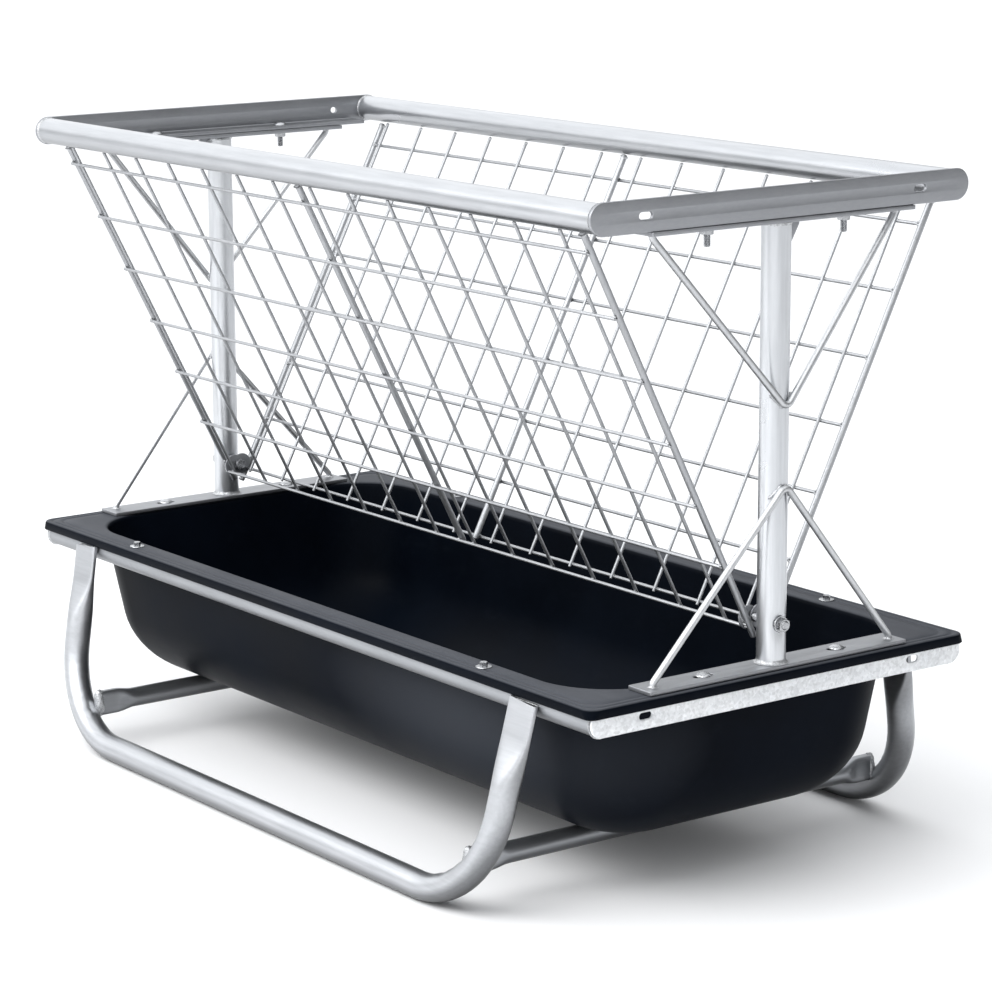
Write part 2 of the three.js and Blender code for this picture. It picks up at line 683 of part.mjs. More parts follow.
// Along +X: head inside the basket, shank out through both lugs and the post.
function footBolt() {
  const headHeight = 7.5;
  const headFace = endRodX(-1) - PANEL_ROD / 2 - EAR_THICKNESS - 2 * FIT;
  const tip = POST_X + POST_OD / 2 + 10.5;
  const shankStart = headFace - headHeight / 2;
  const head = cylinderX(hexRadius(FOOT_NUT_FLATS), headHeight, 6).translate(shankStart, 0, 0);
  const shank = cylinderX(FOOT_BOLT / 2, tip - shankStart).translate((tip + shankStart) / 2, 0, 0);
  return join([head, shank]);
}

function footNut() {
  return facingX(hexNut(FOOT_BOLT, FOOT_NUT_FLATS, NUT_HEIGHT)).translate(POST_X + POST_OD / 2 + FIT, 0, 0);
}

// ---- assembly -----------------------------------------------------------------------------

const feeder = new THREE.Group();

function place(name, geometry, material, parent = feeder) {
  const mesh = new THREE.Mesh(geometry, material);
  mesh.name = name;
  parent.add(mesh);
  return mesh;
}

place('trough_tub', troughTub(), blackPoly);

for (const [sideName, side] of SIDES) {
  place(`rim_tube_${sideName}`, rimTube(), galvanised).position.set(0, side * RIM_TUBE_Y, RIM_TUBE_Z);

  const skid = place(`leg_skid_${sideName}`, legSkid(), galvanised);
  skid.rotation.x = side * SKID_LEAN;
  skid.position.set(0, side * SKID_Y, SKID_OD / 2);

  place(`top_rail_${sideName}`, topRail(), galvanised).position.set(0, side * RAIL_Y, RAIL_Z);

  const panel = new THREE.Group();
  panel.position.set(0, side * PANEL_TOP_Y, PANEL_TOP_Z);
  panel.rotation.x = -side * PANEL_SLOPE;
  feeder.add(panel);
  place(`wire_grid_${sideName}`, wireGrid(side), galvanised, panel);
  // the rods lie just under the long wires, except the back panel's end rods, which lie level
  const inset = -side * PANEL_ROD_INSET;
  place(`mid_rod_${sideName}`, panelRod(inset, LAST_ROW + WIRE_OVERRUN), galvanised, panel);
  for (const [endName, end] of ENDS) {
    const rod = panelRod(side > 0 ? BACK_END_ROD_OUT : inset, LAST_ROW + END_ROD_OVERRUN);
    place(`end_rod_${sideName}_${endName}`, rod, galvanised, panel).position.x = end * endRodX(side);
  }
}

// Everything in an end group is drawn for the right end; the left end is the same, turned half
// a turn about Z, so that its own back is the feeder's front.
for (const [endName, end] of ENDS) {
  const frame = new THREE.Group();
  frame.rotation.z = end > 0 ? 0 : Math.PI;
  feeder.add(frame);

  place(`base_angle_${endName}`, baseAngle(), spangled, frame).position.z = RIM_TUBE_Z;
  const ring = ringAngle(end < 0 ? LEFT_RING_SLOT_LENGTH : ANGLE_SLOT_LENGTH);
  place(`top_angle_${endName}`, ring, galvanised, frame).position.z = RAIL_Z;
  place(`end_plate_${endName}`, endPlate(), galvanised, frame).position.set(POST_X, 0, PLATE_BOTTOM_Z);
  place(`top_strap_${endName}`, topStrap(), galvanised, frame).position.set(POST_X, 0, STRAP_BOTTOM_Z);
  place(`post_${endName}`, post(), galvanised, frame).position.x = POST_X;
  place(`post_gusset_${endName}`, postGusset(), galvanised, frame).position.x = POST_X;
  const lower = brace(LOWER_BRACE_FOOT_X, PLATE_TOP_Z, LOWER_BRACE_APEX_Z);
  place(`lower_brace_${endName}`, lower, galvanised, frame).position.x = POST_X;
  const upper = brace(UPPER_BRACE_FOOT_X, STRAP_BOTTOM_Z, UPPER_BRACE_APEX_Z);
  place(`upper_brace_${endName}`, upper, galvanised, frame).position.x = POST_X;

  const crossTubeMesh = place(`cross_tube_${endName}`, crossTube(), galvanised, frame);
  crossTubeMesh.position.set(CROSS_TUBE_X, 0, CROSS_TUBE_Z);

  place(`foot_bolt_${endName}`, footBolt(), brightZinc, frame).position.z = FOOT_BOLT_Z;
  place(`foot_nut_${endName}`, footNut(), brightZinc, frame).position.z = FOOT_BOLT_Z;

  for (const [sideName, side] of SIDES) {
    const localY = end * side;
    const corner = `${sideName}_${endName}`;
    const ear = place(`panel_ear_${corner}`, panelEar(), galvanised, frame);
    ear.rotation.z = localY > 0 ? 0 : Math.PI;
    ear.position.set(endRodX(side) - PANEL_ROD / 2 - FIT - EAR_THICKNESS / 2, 0, FOOT_BOLT_Z);

    place(`rim_bolt_${corner}`, rimBolt(), brightZinc, frame).position.set(RIM_BOLT_X, localY * RIM_TUBE_Y, 0);
    place(`plate_bolt_${corner}`, plateBolt(), brightZinc, frame).position.set(POST_X, localY * STRIP_BOLT_Y, 0);
    place(`strap_bolt_${corner}`, strapBolt(), brightZinc, frame).position.set(POST_X, localY * STRIP_BOLT_Y, 0);
    const nut = place(`strap_nut_${corner}`, strapNut(), brightZinc, frame);
    nut.position.set(POST_X, localY * STRIP_BOLT_Y, STRAP_BOTTOM_Z - FIT - NUT_HEIGHT);
  }
}

export default feeder;
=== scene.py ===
"""The looks of a hay rack feeder: a wire hay basket on two end posts over a black moulded trough,
on a frame of galvanised tube. Lengths are metres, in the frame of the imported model: X runs along
the trough, Y across it and Z up, with the origin on the ground under the middle of the trough."""
import math
import random

import bmesh
import bpy
from mathutils import Matrix, Vector, noise


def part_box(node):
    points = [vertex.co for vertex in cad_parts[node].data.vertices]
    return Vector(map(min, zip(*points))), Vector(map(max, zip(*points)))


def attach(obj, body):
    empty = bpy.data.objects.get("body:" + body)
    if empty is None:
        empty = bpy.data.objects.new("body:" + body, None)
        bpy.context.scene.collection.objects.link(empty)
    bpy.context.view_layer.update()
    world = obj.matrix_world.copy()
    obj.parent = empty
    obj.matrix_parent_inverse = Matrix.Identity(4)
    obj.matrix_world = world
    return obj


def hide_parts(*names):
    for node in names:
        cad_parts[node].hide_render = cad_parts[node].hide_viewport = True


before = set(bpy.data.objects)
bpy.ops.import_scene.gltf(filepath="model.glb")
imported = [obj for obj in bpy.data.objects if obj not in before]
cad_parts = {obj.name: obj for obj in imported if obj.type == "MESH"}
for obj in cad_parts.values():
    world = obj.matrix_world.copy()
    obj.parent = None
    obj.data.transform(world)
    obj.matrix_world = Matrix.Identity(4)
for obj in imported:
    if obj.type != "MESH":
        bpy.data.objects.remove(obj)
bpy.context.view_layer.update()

MM = 0.001
SIDES = [("front", -1), ("back", 1)]
ENDS = [("left", -1), ("right", 1)]
X_AXIS = Vector((1, 0, 0))
Y_AXIS = Vector((0, 1, 0))
Z_AXIS = Vector((0, 0, 1))

# ---- sizes that the frame's boxes don't give ----------------------------------------------

TUBE_WALL = 3.0 * MM
SKID_RADIUS = 21.1 * MM
POST_RADIUS = 21.1 * MM
SKID_LEAN = math.radians(180 / 16)
SKID_Y = 409.9 * MM
SKID_CORNER_X = 583 * MM
LEG_TOP_X = 609 * MM
LEG_TOP_Z = 322.5 * MM
SKID_BEND_RADIUS = 161 * MM
LEG_FLAT_LENGTH = 44 * MM
LEG_FLAT_BLEND = 92 * MM
LEG_FLAT_THICKNESS = 10 * MM
LEG_FLAT_WIDTH = 60 * MM
CROSS_TUBE_RADIUS = 16 * MM
CROSS_FLAT_LENGTH = 26 * MM
CROSS_FLAT_BLEND = 34 * MM
CROSS_FLAT_THICKNESS = 16 * MM
CROSS_FLAT_HEIGHT = 41 * MM
BRACE_RADIUS = 5 * MM
BRACE_FOOT_Y = 221 * MM
BRACE_STUB = 5.5 * MM
BRACE_BEND_RADIUS = 11 * MM
LOWER_BRACE_FOOT_X = 733 * MM
UPPER_BRACE_FOOT_X = 727 * MM
LOWER_BRACE_APEX_Z = 608 * MM
UPPER_BRACE_APEX_Z = 716 * MM
PANEL_TOP_Y = 316.4 * MM
PANEL_TOP_Z = 980.7 * MM
PANEL_BOTTOM_Y = 14.1 * MM
PANEL_BOTTOM_Z = 391.1 * MM
PANEL_SLOPE = math.atan2(PANEL_TOP_Y - PANEL_BOTTOM_Y, PANEL_TOP_Z - PANEL_BOTTOM_Z)
WIRE_RADIUS = 2.6 * MM
WIRE_WELD = 1 * MM
WIRE_PITCH = 101.6 * MM
UPRIGHT_WIRES = 14
GRID_OFFSET_X = -12.8 * MM
FIRST_ROW = 28 * MM
ROW_PITCH = 104.5 * MM
ROWS = 7
BACK_ROW_DROP = 10.5 * MM
LAST_ROW = FIRST_ROW + ROW_PITCH * (ROWS - 1)
WIRE_OVERRUN = 7 * MM
END_ROD_OVERRUN = 24 * MM
PANEL_ROD_RADIUS = 5 * MM
PANEL_ROD_INSET = 3.7 * MM
END_ROD_X = 693.8 * MM
ROW_HALF_X = 696 * MM
BACK_END_ROD_OUT = 6 * MM
BACK_END_ROD_SHIFT = 3.5 * MM
EAR_RADIUS = 17.7 * MM
EAR_SHIFT = 9 * MM
EAR_THICKNESS = 3 * MM
ANGLE_SLOT_Y = 250 * MM
ANGLE_SLOT_LENGTH = 23 * MM
ANGLE_SLOT_HEIGHT = 10 * MM
LEFT_RING_SLOT_LENGTH = 12 * MM
RING_ANGLE_THICKNESS = 6 * MM
BASE_ANGLE_THICKNESS = 5 * MM
RING_SHELF_HALF_Y = 290 * MM
BASE_SHELF_HALF_Y = 300 * MM
STRIP_BOLT_Y = 125 * MM
BOLT_RADIUS = 5 * MM
BOLT_HOLE = 11.6 * MM
PLATE_SLOT_LENGTH = 34 * MM
FOOT_BOLT_RADIUS = 6 * MM
NUT_FLATS = 16 * MM
FOOT_NUT_FLATS = 18 * MM
RIM_SCREW_RADIUS = 3.2 * MM
RIM_SCREW_FLATS = 10 * MM
RIM_WASHER_RADIUS = 12 * MM
RIM_WASHER_THICKNESS = 1.6 * MM
RIM_WASHER_LIFT = 0.25 * MM
NUT_HEIGHT = 8 * MM
TUB_WALL = 5 * MM
BASIN_HALF_X = 704 * MM
BASIN_HALF_Y = 301 * MM
BASIN_CORNER = 115 * MM
BASIN_TAPER_X = 22 * MM
BASIN_TAPER_Y = 42 * MM
BASIN_FLOOR_RADIUS = 96 * MM
BASIN_MOUTH_RADIUS = 8 * MM
TUB_CORNER = 20 * MM
TUB_LIP_CORNER = 14 * MM
TUB_LIP_THICKNESS = 4 * MM
BEAD_RIPPLE = 3.4 * MM
FOOT_DENT_DEPTH = 3.6 * MM
FOOT_DENT_SPREAD = 19 * MM
DOME_RADIUS = 11.5 * MM
FOOT_WASHER_RADIUS = 12 * MM
FOOT_WASHER_THICKNESS = 2.7 * MM

# ---- the camera, solved from the object's own edges ---------------------------------------

CAMERA_PLACE = Vector((4.165, -3.023, 1.565))
CAMERA_YAW = math.radians(53.55)
CAMERA_PITCH = math.radians(12.07)
CAMERA_ROLL = math.radians(0.27)
CAMERA_LENS = 120.5


def add_camera():
    level = Vector((-math.sin(CAMERA_YAW), math.cos(CAMERA_YAW), 0))
    forward = level * math.cos(CAMERA_PITCH) - Z_AXIS * math.sin(CAMERA_PITCH)
    flat_right = Vector((math.cos(CAMERA_YAW), math.sin(CAMERA_YAW), 0))
    flat_down = forward.cross(flat_right)
    right = flat_right * math.cos(CAMERA_ROLL) + flat_down * math.sin(CAMERA_ROLL)
    down = flat_down * math.cos(CAMERA_ROLL) - flat_right * math.sin(CAMERA_ROLL)
    data = bpy.data.cameras.new("camera")
    data.lens = CAMERA_LENS
    data.sensor_width = 36
    data.sensor_fit = "HORIZONTAL"
    camera = bpy.data.objects.new("camera", data)
    bpy.context.scene.collection.objects.link(camera)
    turn = Matrix((right, -down, -forward)).transposed()
    camera.matrix_world = Matrix.Translation(CAMERA_PLACE) @ turn.to_4x4()
    bpy.context.scene.camera = camera


# ---- materials ----------------------------------------------------------------------------

def add_node(tree, kind, sockets, output, **settings):
    """Adds a node, sets or links its sockets by name or number, and gives one of its outputs."""
    node = tree.nodes.new(kind)
    for name, value in settings.items():
        setattr(node, name, value)
    for name, value in sockets.items():
        if isinstance(value, bpy.types.NodeSocket):
            tree.links.new(value, node.inputs[name])
        else:
            node.inputs[name].default_value = value
    return node.outputs[output]


class Nodes:
    """A new material, and a short way to write its node tree."""

    def __init__(self, name):
        self.material = bpy.data.materials.new(name)
        self.material.use_nodes = True
        self.tree = self.material.node_tree
        self.shader = self.tree.nodes["Principled BSDF"]
        self.coordinates = self.add("ShaderNodeTexCoord", {}, "Object")

    def add(self, kind, sockets, output, **settings):
        return add_node(self.tree, kind, sockets, output, **settings)

    def noise(self, scale, detail=4.0, roughness=0.55, stretch=(1, 1, 1)):
        mapped = self.add("ShaderNodeMapping", {"Vector": self.coordinates, "Scale": stretch}, "Vector")
        sockets = {"Vector": mapped, "Scale": scale, "Detail": detail, "Roughness": roughness}
        return self.add("ShaderNodeTexNoise", sockets, "Fac")

    def cells(self, scale):
        """A grey tone, different in each crystal."""
        colour = self.add("ShaderNodeTexVoronoi", {"Vector": self.coordinates, "Scale": scale}, "Color")
        return self.add("ShaderNodeRGBToBW", {"Color": colour}, "Val")

    def ranged(self, value, low, high, to_low, to_high):
        sockets = {"Value": value, "From Min": low, "From Max": high, "To Min": to_low, "To Max": to_high}
        return self.add("ShaderNodeMapRange", sockets, "Result")

    def ramp(self, value, stops):
        colour = self.add("ShaderNodeValToRGB", {"Fac": value}, "Color")
        elements = colour.node.color_ramp.elements
        while len(elements) < len(stops):
            elements.new(0.5)
        for element, (place, tone) in zip(elements, stops):
            element.position = place
            element.color = (*tone, 1)
        return colour

    def mixed(self, factor, first, second, mode="MIX"):
        if isinstance(second, tuple):
            second = (*second, 1)
        sockets = {0: factor, 6: first, 7: second}
        return self.add("ShaderNodeMix", sockets, 2, data_type="RGBA", blend_type=mode)

    def maths(self, operation, first, second):
        return self.add("ShaderNodeMath", {0: first, 1: second}, "Value", operation=operation)

    def near(self, centre, reach):
        """One at a place on the object, fading to nothing at the reach along each axis."""
        place = self.add("ShaderNodeNewGeometry", {}, "Position")
        offset = self.add("ShaderNodeVectorMath", {0: place, 1: centre}, "Vector", operation="SUBTRACT")
        scaled = self.add("ShaderNodeVectorMath", {0: offset, 1: reach}, "Vector", operation="DIVIDE")
        length = self.add("ShaderNodeVectorMath", {0: scaled}, "Value", operation="LENGTH")
        return self.ranged(length, 0.1, 1.0, 1.0, 0.0)

    def upward(self, output):
        """The Z of the surface's place ("Position") or of the way it faces ("Normal")."""
        found = self.add("ShaderNodeNewGeometry", {}, output)
        return self.add("ShaderNodeSeparateXYZ", {"Vector": found}, "Z")

    def underside_shade(self, shares):
        """White on top and at the sides, greyer where the surface faces the ground: painted shade, darker the
        more the surface faces down.
        """
        below, half_way = shares
        turned = self.ranged(self.upward("Normal"), -0.9, 0.1, 0.0, 1.0)
        return self.ramp(turned, [(0.0, (below,) * 3), (0.55, (half_way,) * 3), (1.0, (1.0, 1.0, 1.0))])

    def finished(self, colour, roughness, metallic, bump, strength, distance):
        """Joins the colour, the roughness and a fine relief to the shader, and gives the material."""
        sockets = {"Height": bump, "Strength": strength, "Distance": distance}
        self.tree.links.new(self.add("ShaderNodeBump", sockets, "Normal"), self.shader.inputs["Normal"])
        self.tree.links.new(colour, self.shader.inputs["Base Color"])
        self.tree.links.new(roughness, self.shader.inputs["Roughness"])
        self.shader.inputs["Metallic"].default_value = metallic
        return self.material


def shades(colour, low, high):
    """Two tones of a colour, darker and lighter."""
    return [tuple(channel * share for channel in colour) for share in (low, high)]


# Share of the zinc's brightness left by the painted underside shade straight below, and half way round to the
# side.
RAIL_UNDERSIDE_SHADE = (0.5, 0.85)
SKID_UNDERSIDE_SHADE = (0.2, 0.42)


def galvanised(name, colour, along, roughness=(0.27, 0.34), underside_shade=RAIL_UNDERSIDE_SHADE):
    """Drawn tube or rod, zinc coated: soft streaks along its length and faint cloudy patches, with painted
    shade on its underside.
    """
    n = Nodes(name)
    stretch = [1.0, 1.0, 1.0]
    stretch["xyz".index(along)] = 0.06
    streaks = n.noise(160, 5, 0.6, stretch)
    clouds = n.noise(9, 4, 0.6)
    dark, light = shades(colour, 0.92, 1.06)
    streaked = n.ramp(streaks, [(0.3, dark), (0.68, light)])
    clouded = n.ramp(clouds, [(0.3, (0.94, 0.945, 0.95)), (0.7, (1.0, 1.0, 1.0))])
    zinc = n.mixed(0.8, streaked, clouded, "MULTIPLY")
    # painted shade: the zinc's colour is darkened where the surface faces the ground
    shaded_zinc = n.mixed(1.0, zinc, n.underside_shade(underside_shade), "MULTIPLY")
    relief = n.maths("ADD", n.noise(900, 3, 0.6), n.maths("MULTIPLY", streaks, 0.3))
    return n.finished(shaded_zinc, n.ranged(clouds, 0.3, 0.7, *roughness), 0.95, relief, 0.05, 0.0002)


def spangled(name, colour):
    """Thick zinc on hot-dipped angle: fine crystals of slightly different tone, matt and bright."""
    n = Nodes(name)
    clouds = n.noise(14, 5, 0.6)
    dark, light = shades(colour, 0.8, 1.1)
    tone = n.maths("ADD", n.maths("MULTIPLY", n.cells(260), 0.6), n.maths("MULTIPLY", n.cells(105), 0.4))
    crystal_tone = n.ramp(tone, [(0.2, dark), (0.8, light)])
    clouded = n.ramp(clouds, [(0.3, (0.88, 0.89, 0.9)), (0.65, (1.0, 1.0, 1.0))])
    zinc = n.mixed(0.8, crystal_tone, clouded, "MULTIPLY")
    relief = n.maths("ADD", tone, n.noise(700, 3, 0.6))
    return n.finished(zinc, n.ranged(tone, 0.2, 0.8, 0.46, 0.62), 0.35, relief, 0.2, 0.0006)


def smooth_plate(name, colour):
    """Rolled strip under a thin zinc coat: mid grey, nearly even, with broad soft clouds."""
    n = Nodes(name)
    clouds = n.noise(6, 5, 0.6, (1, 0.5, 1))
    fine = n.noise(260, 4, 0.6, (1, 0.3, 1))
    dark, light = shades(colour, 0.88, 1.1)
    broad = n.ramp(clouds, [(0.3, dark), (0.7, light)])
    flecks = n.ramp(fine, [(0.25, (0.9, 0.9, 0.92)), (0.6, (1.0, 1.0, 1.0))])
    zinc = n.mixed(0.7, broad, flecks, "MULTIPLY")
    return n.finished(zinc, n.ranged(clouds, 0.3, 0.7, 0.34, 0.48), 0.9, fine, 0.12, 0.0005)


def weld_metal(name, colour):
    """A zinc-coated weld: rough, pitted and a little brighter on its ripples."""
    n = Nodes(name)
    pits = n.noise(420, 6, 0.7)
    dark, light = shades(colour, 0.55, 1.15)
    zinc = n.ramp(pits, [(0.35, dark), (0.6, light)])
    return n.finished(zinc, n.ranged(pits, 0.3, 0.7, 0.55, 0.34), 0.9, pits, 0.7, 0.0009)


def bright_zinc(name, colour):
    """Plated bolts and nuts: smoother than the frame, with fine turning marks."""
    n = Nodes(name)
    marks = n.noise(500, 3, 0.5)
    film = n.noise(60, 4, 0.6)
    dark, light = shades(colour, 0.82, 1.05)
    zinc = n.ramp(film, [(0.3, dark), (0.6, light)])
    return n.finished(zinc, n.ranged(marks, 0.3, 0.7, 0.18, 0.34), 1.0, marks, 0.15, 0.0004)


# A painted sheen: a soft lighter grey patch on the trough's floor near one end, standing in for a light's
# broad reflection.
BASIN_SHEEN_PLACE = (0.38, -0.2, 0.24)
BASIN_SHEEN_REACH = (0.4, 0.2, 0.14)
BASIN_SHEEN_GREY = (0.055, 0.06, 0.07)
RIM_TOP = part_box("trough_tub")[1].z
RIM_SHEEN_GREY = (0.062, 0.066, 0.076)
SCUFF_GREY = (0.012, 0.015, 0.02)
PLASTIC_SPECULAR = 0.03


def black_polyethylene(name, colour):
    """Rotationally moulded plastic: a satin skin with a fine orange peel and greyish bloom, and a painted
    sheen on the flange's top and on the basin floor.
    """
    n = Nodes(name)
    bloom = n.noise(3.2, 5, 0.6)
    peel = n.noise(330, 3, 0.55)
    scuffs = n.noise(26, 6, 0.7, (0.35, 1, 1))
    dark, light = shades(colour, 0.75, 1.5)
    base = n.ramp(bloom, [(0.38, dark), (0.72, light)])
    worn = n.mixed(n.ranged(scuffs, 0.56, 0.8, 0.0, 0.22), base, SCUFF_GREY)
    # painted sheen: the flange's upward faces are a lighter grey, standing in for the reflection they would
    # catch
    rim_height = n.ranged(n.upward("Position"), RIM_TOP - 3 * MM, RIM_TOP - 1.5 * MM, 0.0, 1.0)
    rim_top = n.maths("MULTIPLY", rim_height, n.ranged(n.upward("Normal"), 0.5, 0.95, 0.0, 1.0))
    rim_sheen = n.maths("MULTIPLY", rim_top, n.ranged(scuffs, 0.25, 0.7, 0.75, 1.0))
    # painted sheen: a lighter grey patch on the basin floor
    basin_sheen = n.maths("MULTIPLY", n.near(BASIN_SHEEN_PLACE, BASIN_SHEEN_REACH), 0.75)
    skin = n.mixed(basin_sheen, n.mixed(rim_sheen, worn, RIM_SHEEN_GREY), BASIN_SHEEN_GREY)
    relief = n.maths("ADD", peel, n.maths("MULTIPLY", scuffs, 0.5))
    n.shader.inputs["Specular IOR Level"].default_value = PLASTIC_SPECULAR
    return n.finished(skin, n.ranged(bloom, 0.3, 0.7, 0.36, 0.5), 0.0, relief, 0.1, 0.0008)


TUBE_COLOUR = (0.48, 0.49, 0.508)
# A lighter copy of the tube zinc: painted light that makes the posts look more brightly lit than the rails.
POST_LIT_COLOUR = (0.61, 0.623, 0.642)
# A darker copy of the tube zinc: painted shade on the rim tubes under the trough's lip, and on the cross
# tubes under the trough.
SHADED_TUBE_COLOUR = (0.34, 0.35, 0.366)
RAIL_METAL = galvanised("galvanised_along_x", TUBE_COLOUR, "x")
POST_METAL = galvanised("galvanised_along_z", POST_LIT_COLOUR, "z")
WIRE_METAL = galvanised("galvanised_wire", (0.43, 0.438, 0.452), "z", (0.42, 0.52))
RIM_METAL = galvanised("galvanised_rim", SHADED_TUBE_COLOUR, "x", (0.36, 0.44))
SKID_METAL = galvanised("galvanised_skid", TUBE_COLOUR, "x", (0.32, 0.4), SKID_UNDERSIDE_SHADE)
CROSS_METAL = galvanised("galvanised_cross", SHADED_TUBE_COLOUR, "y", (0.36, 0.44), SKID_UNDERSIDE_SHADE)
BRACE_METAL = galvanised("galvanised_brace", (0.6, 0.608, 0.62), "z", (0.38, 0.46))
PLATE_METAL = smooth_plate("galvanised_plate", (0.31, 0.317, 0.332))
ANGLE_METAL = spangled("spangled_angle", (0.78, 0.79, 0.802))
WELD_METAL = weld_metal("galvanised_weld", (0.5, 0.508, 0.52))
BOLT_METAL = bright_zinc("bright_zinc", (0.44, 0.447, 0.46))
TUB_PLASTIC = black_polyethylene("black_polyethylene", (0.0016, 0.0028, 0.0055))

# ---- mesh helpers -------------------------------------------------------------------------


class Shape:
    """Points and faces of one piece, gathered from closed parts, each with its own material."""

    def __init__(self):
        self.points = []
        self.faces = []
        self.materials = []
        self.face_materials = []

    def add(self, points, faces, material):
        if material not in self.materials:
            self.materials.append(material)
        slot = self.materials.index(material)
        start = len(self.points)
        self.points.extend(points)
        self.faces.extend([[start + i for i in face] for face in faces])
        self.face_materials.extend([slot] * len(faces))

    def place(self, node, sharp=40, slot="galvanised_tube"):
        """Makes the piece that stands for a node. Edges sharper than this angle stay crisp."""
        name = f"fine_{node}"
        mesh = bpy.data.meshes.new(name)
        mesh.from_pydata([tuple(point) for point in self.points], [], self.faces)
        for material in self.materials:
            mesh.materials.append(material)
        mesh.polygons.foreach_set("material_index", self.face_materials)
        tidy = bmesh.new()
        tidy.from_mesh(mesh)
        bmesh.ops.recalc_face_normals(tidy, faces=tidy.faces)
        tidy.to_mesh(mesh)
        tidy.free()
        mesh.shade_smooth()
        mesh.set_sharp_from_angle(angle=math.radians(sharp))
        piece = bpy.data.objects.new(name, mesh)
        bpy.context.scene.collection.objects.link(piece)
        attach(piece, "root")
        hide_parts(node)


def tangents(path):
    found = []
    for i, here in enumerate(path):
        before = path[max(i - 1, 0)]
        after = path[min(i + 1, len(path) - 1)]
        back = (here - before).normalized()
        ahead = (after - here).normalized()
        found.append((back + ahead).normalized())
    return found


def cross_axes(tangent, reference):
    across = tangent.cross(reference).normalized()
    return across, across.cross(tangent).normalized()


def around(axis):
    """Two directions square to an axis, for turning about it."""
    return cross_axes(axis, Y_AXIS if abs(axis.dot(Y_AXIS)) < 0.5 else X_AXIS)


def spoke(axes, angle):
    return axes[0] * math.cos(angle) + axes[1] * math.sin(angle)


def rings_to_faces(ring_count, per_ring, closed=False):
    """Joins each ring to the next. The last one joins the first, or both ends are capped."""
    faces = []
    last = ring_count if closed else ring_count - 1
    for i in range(last):
        low = i * per_ring
        high = ((i + 1) % ring_count) * per_ring
        for j in range(per_ring):
            k = (j + 1) % per_ring
            faces.append((low + j, low + k, high + k, high + j))
    if not closed:
        total = ring_count * per_ring
        faces += [tuple(range(per_ring)), tuple(range(total - per_ring, total))]
    return faces


def sweep_ring(place, tangent, reference, outline):
    across, up = cross_axes(tangent, reference)
    return [place + across * a + up * b for a, b in outline]


def round_outline(radius, sides, flat=0.0, thickness=None, width=None):
    """A circle of points, or one pressed towards a flat bar with round edges by the flat share."""
    narrow = 1 if thickness is None else 1 + flat * (thickness / 2 / radius - 1)
    wide = 1 if width is None else 1 + flat * (width / 2 / radius - 1)
    power = 2 / (2 + 2.6 * flat)
    points = []
    for i in range(sides):
        angle = 2 * math.pi * i / sides
        c, s = math.cos(angle), math.sin(angle)
        across = math.copysign(abs(c) ** power, c)
        up = math.copysign(abs(s) ** power, s)
        points.append((radius * wide * across, radius * narrow * up))
    return points


def add_rod(shape, path, radius, material, reference, sides=16, end_round=0.5):
    """A solid round rod along a path, its end edges rounded."""
    directions = tangents(path)
    edge = radius * end_round
    steps = [(1.0, 1 - end_round), (0.5, 1 - end_round * 0.13), (0.0, 1.0)]
    stations = [(path[0] + directions[0] * edge * (1 - pull), directions[0], size) for pull, size in steps]
    stations += [(place, direction, 1.0) for place, direction in list(zip(path, directions))[1:-1]]
    for pull, size in reversed(steps):
        stations.append((path[-1] - directions[-1] * edge * (1 - pull), directions[-1], size))
    points = []
    for place, direction, size in stations:
        points += sweep_ring(place, direction, reference, round_outline(radius * size, sides))
    shape.add(points, rings_to_faces(len(stations), sides), material)


def add_pipe(shape, path, reference, outer, inner, material):
    """A hollow tube along a path. outer and inner give the section's outline at a station."""
    directions = tangents(path)
    forth = range(len(path))
    rings = [sweep_ring(path[i], directions[i], reference, outer(i)) for i in forth]
    rings += [sweep_ring(path[i], directions[i], reference, inner(i)) for i in reversed(forth)]
    points = [point for ring in rings for point in ring]
    shape.add(points, rings_to_faces(len(rings), len(rings[0]), closed=True), material)


def straight(start, end, steps):
    return [start.lerp(end, i / steps) for i in range(steps + 1)]


def bent(corners, radius, arc_steps, straight_step=None):
    """A path straight between its corners, with an arc at each inner corner."""
    stations = [corners[0]]
    for i in range(1, len(corners) - 1):
        back = (corners[i - 1] - corners[i]).normalized()
        ahead = (corners[i + 1] - corners[i]).normalized()
        half = back.angle(ahead) / 2
        inward = (back + ahead).normalized()
        centre = corners[i] + inward * (radius / math.sin(half))
        first = corners[i] + back * (radius / math.tan(half)) - centre
        last = corners[i] + ahead * (radius / math.tan(half)) - centre
        turn = math.pi - 2 * half
        for k in range(arc_steps + 1):
            share = k / arc_steps
            arm = first * math.sin((1 - share) * turn) + last * math.sin(share * turn)
            stations.append(centre + arm / math.sin(turn))
    stations.append(corners[-1])
    if straight_step is None:
        return stations
    filled = [stations[0]]
    for here in stations[1:]:
        gap = (here - filled[-1]).length
        start = filled[-1]
        pieces = max(1, math.ceil(gap / straight_step - 0.001))
        filled.extend(start.lerp(here, k / pieces) for k in range(1, pieces + 1))
    return filled


def add_lathe(shape, profile, base, axis, sides=32, closed=False):
    """Turns a profile of (radius, height) pairs about an axis, for a bolt head or a washer. It
    starts and ends on the axis, or closes on itself."""
    axes = around(axis)
    points = []
    for radius, height in profile:
        for j in range(sides):
            points.append(base + axis * height + spoke(axes, 2 * math.pi * j / sides) * radius)
    shape.add(points, rings_to_faces(len(profile), sides, closed), BOLT_METAL)


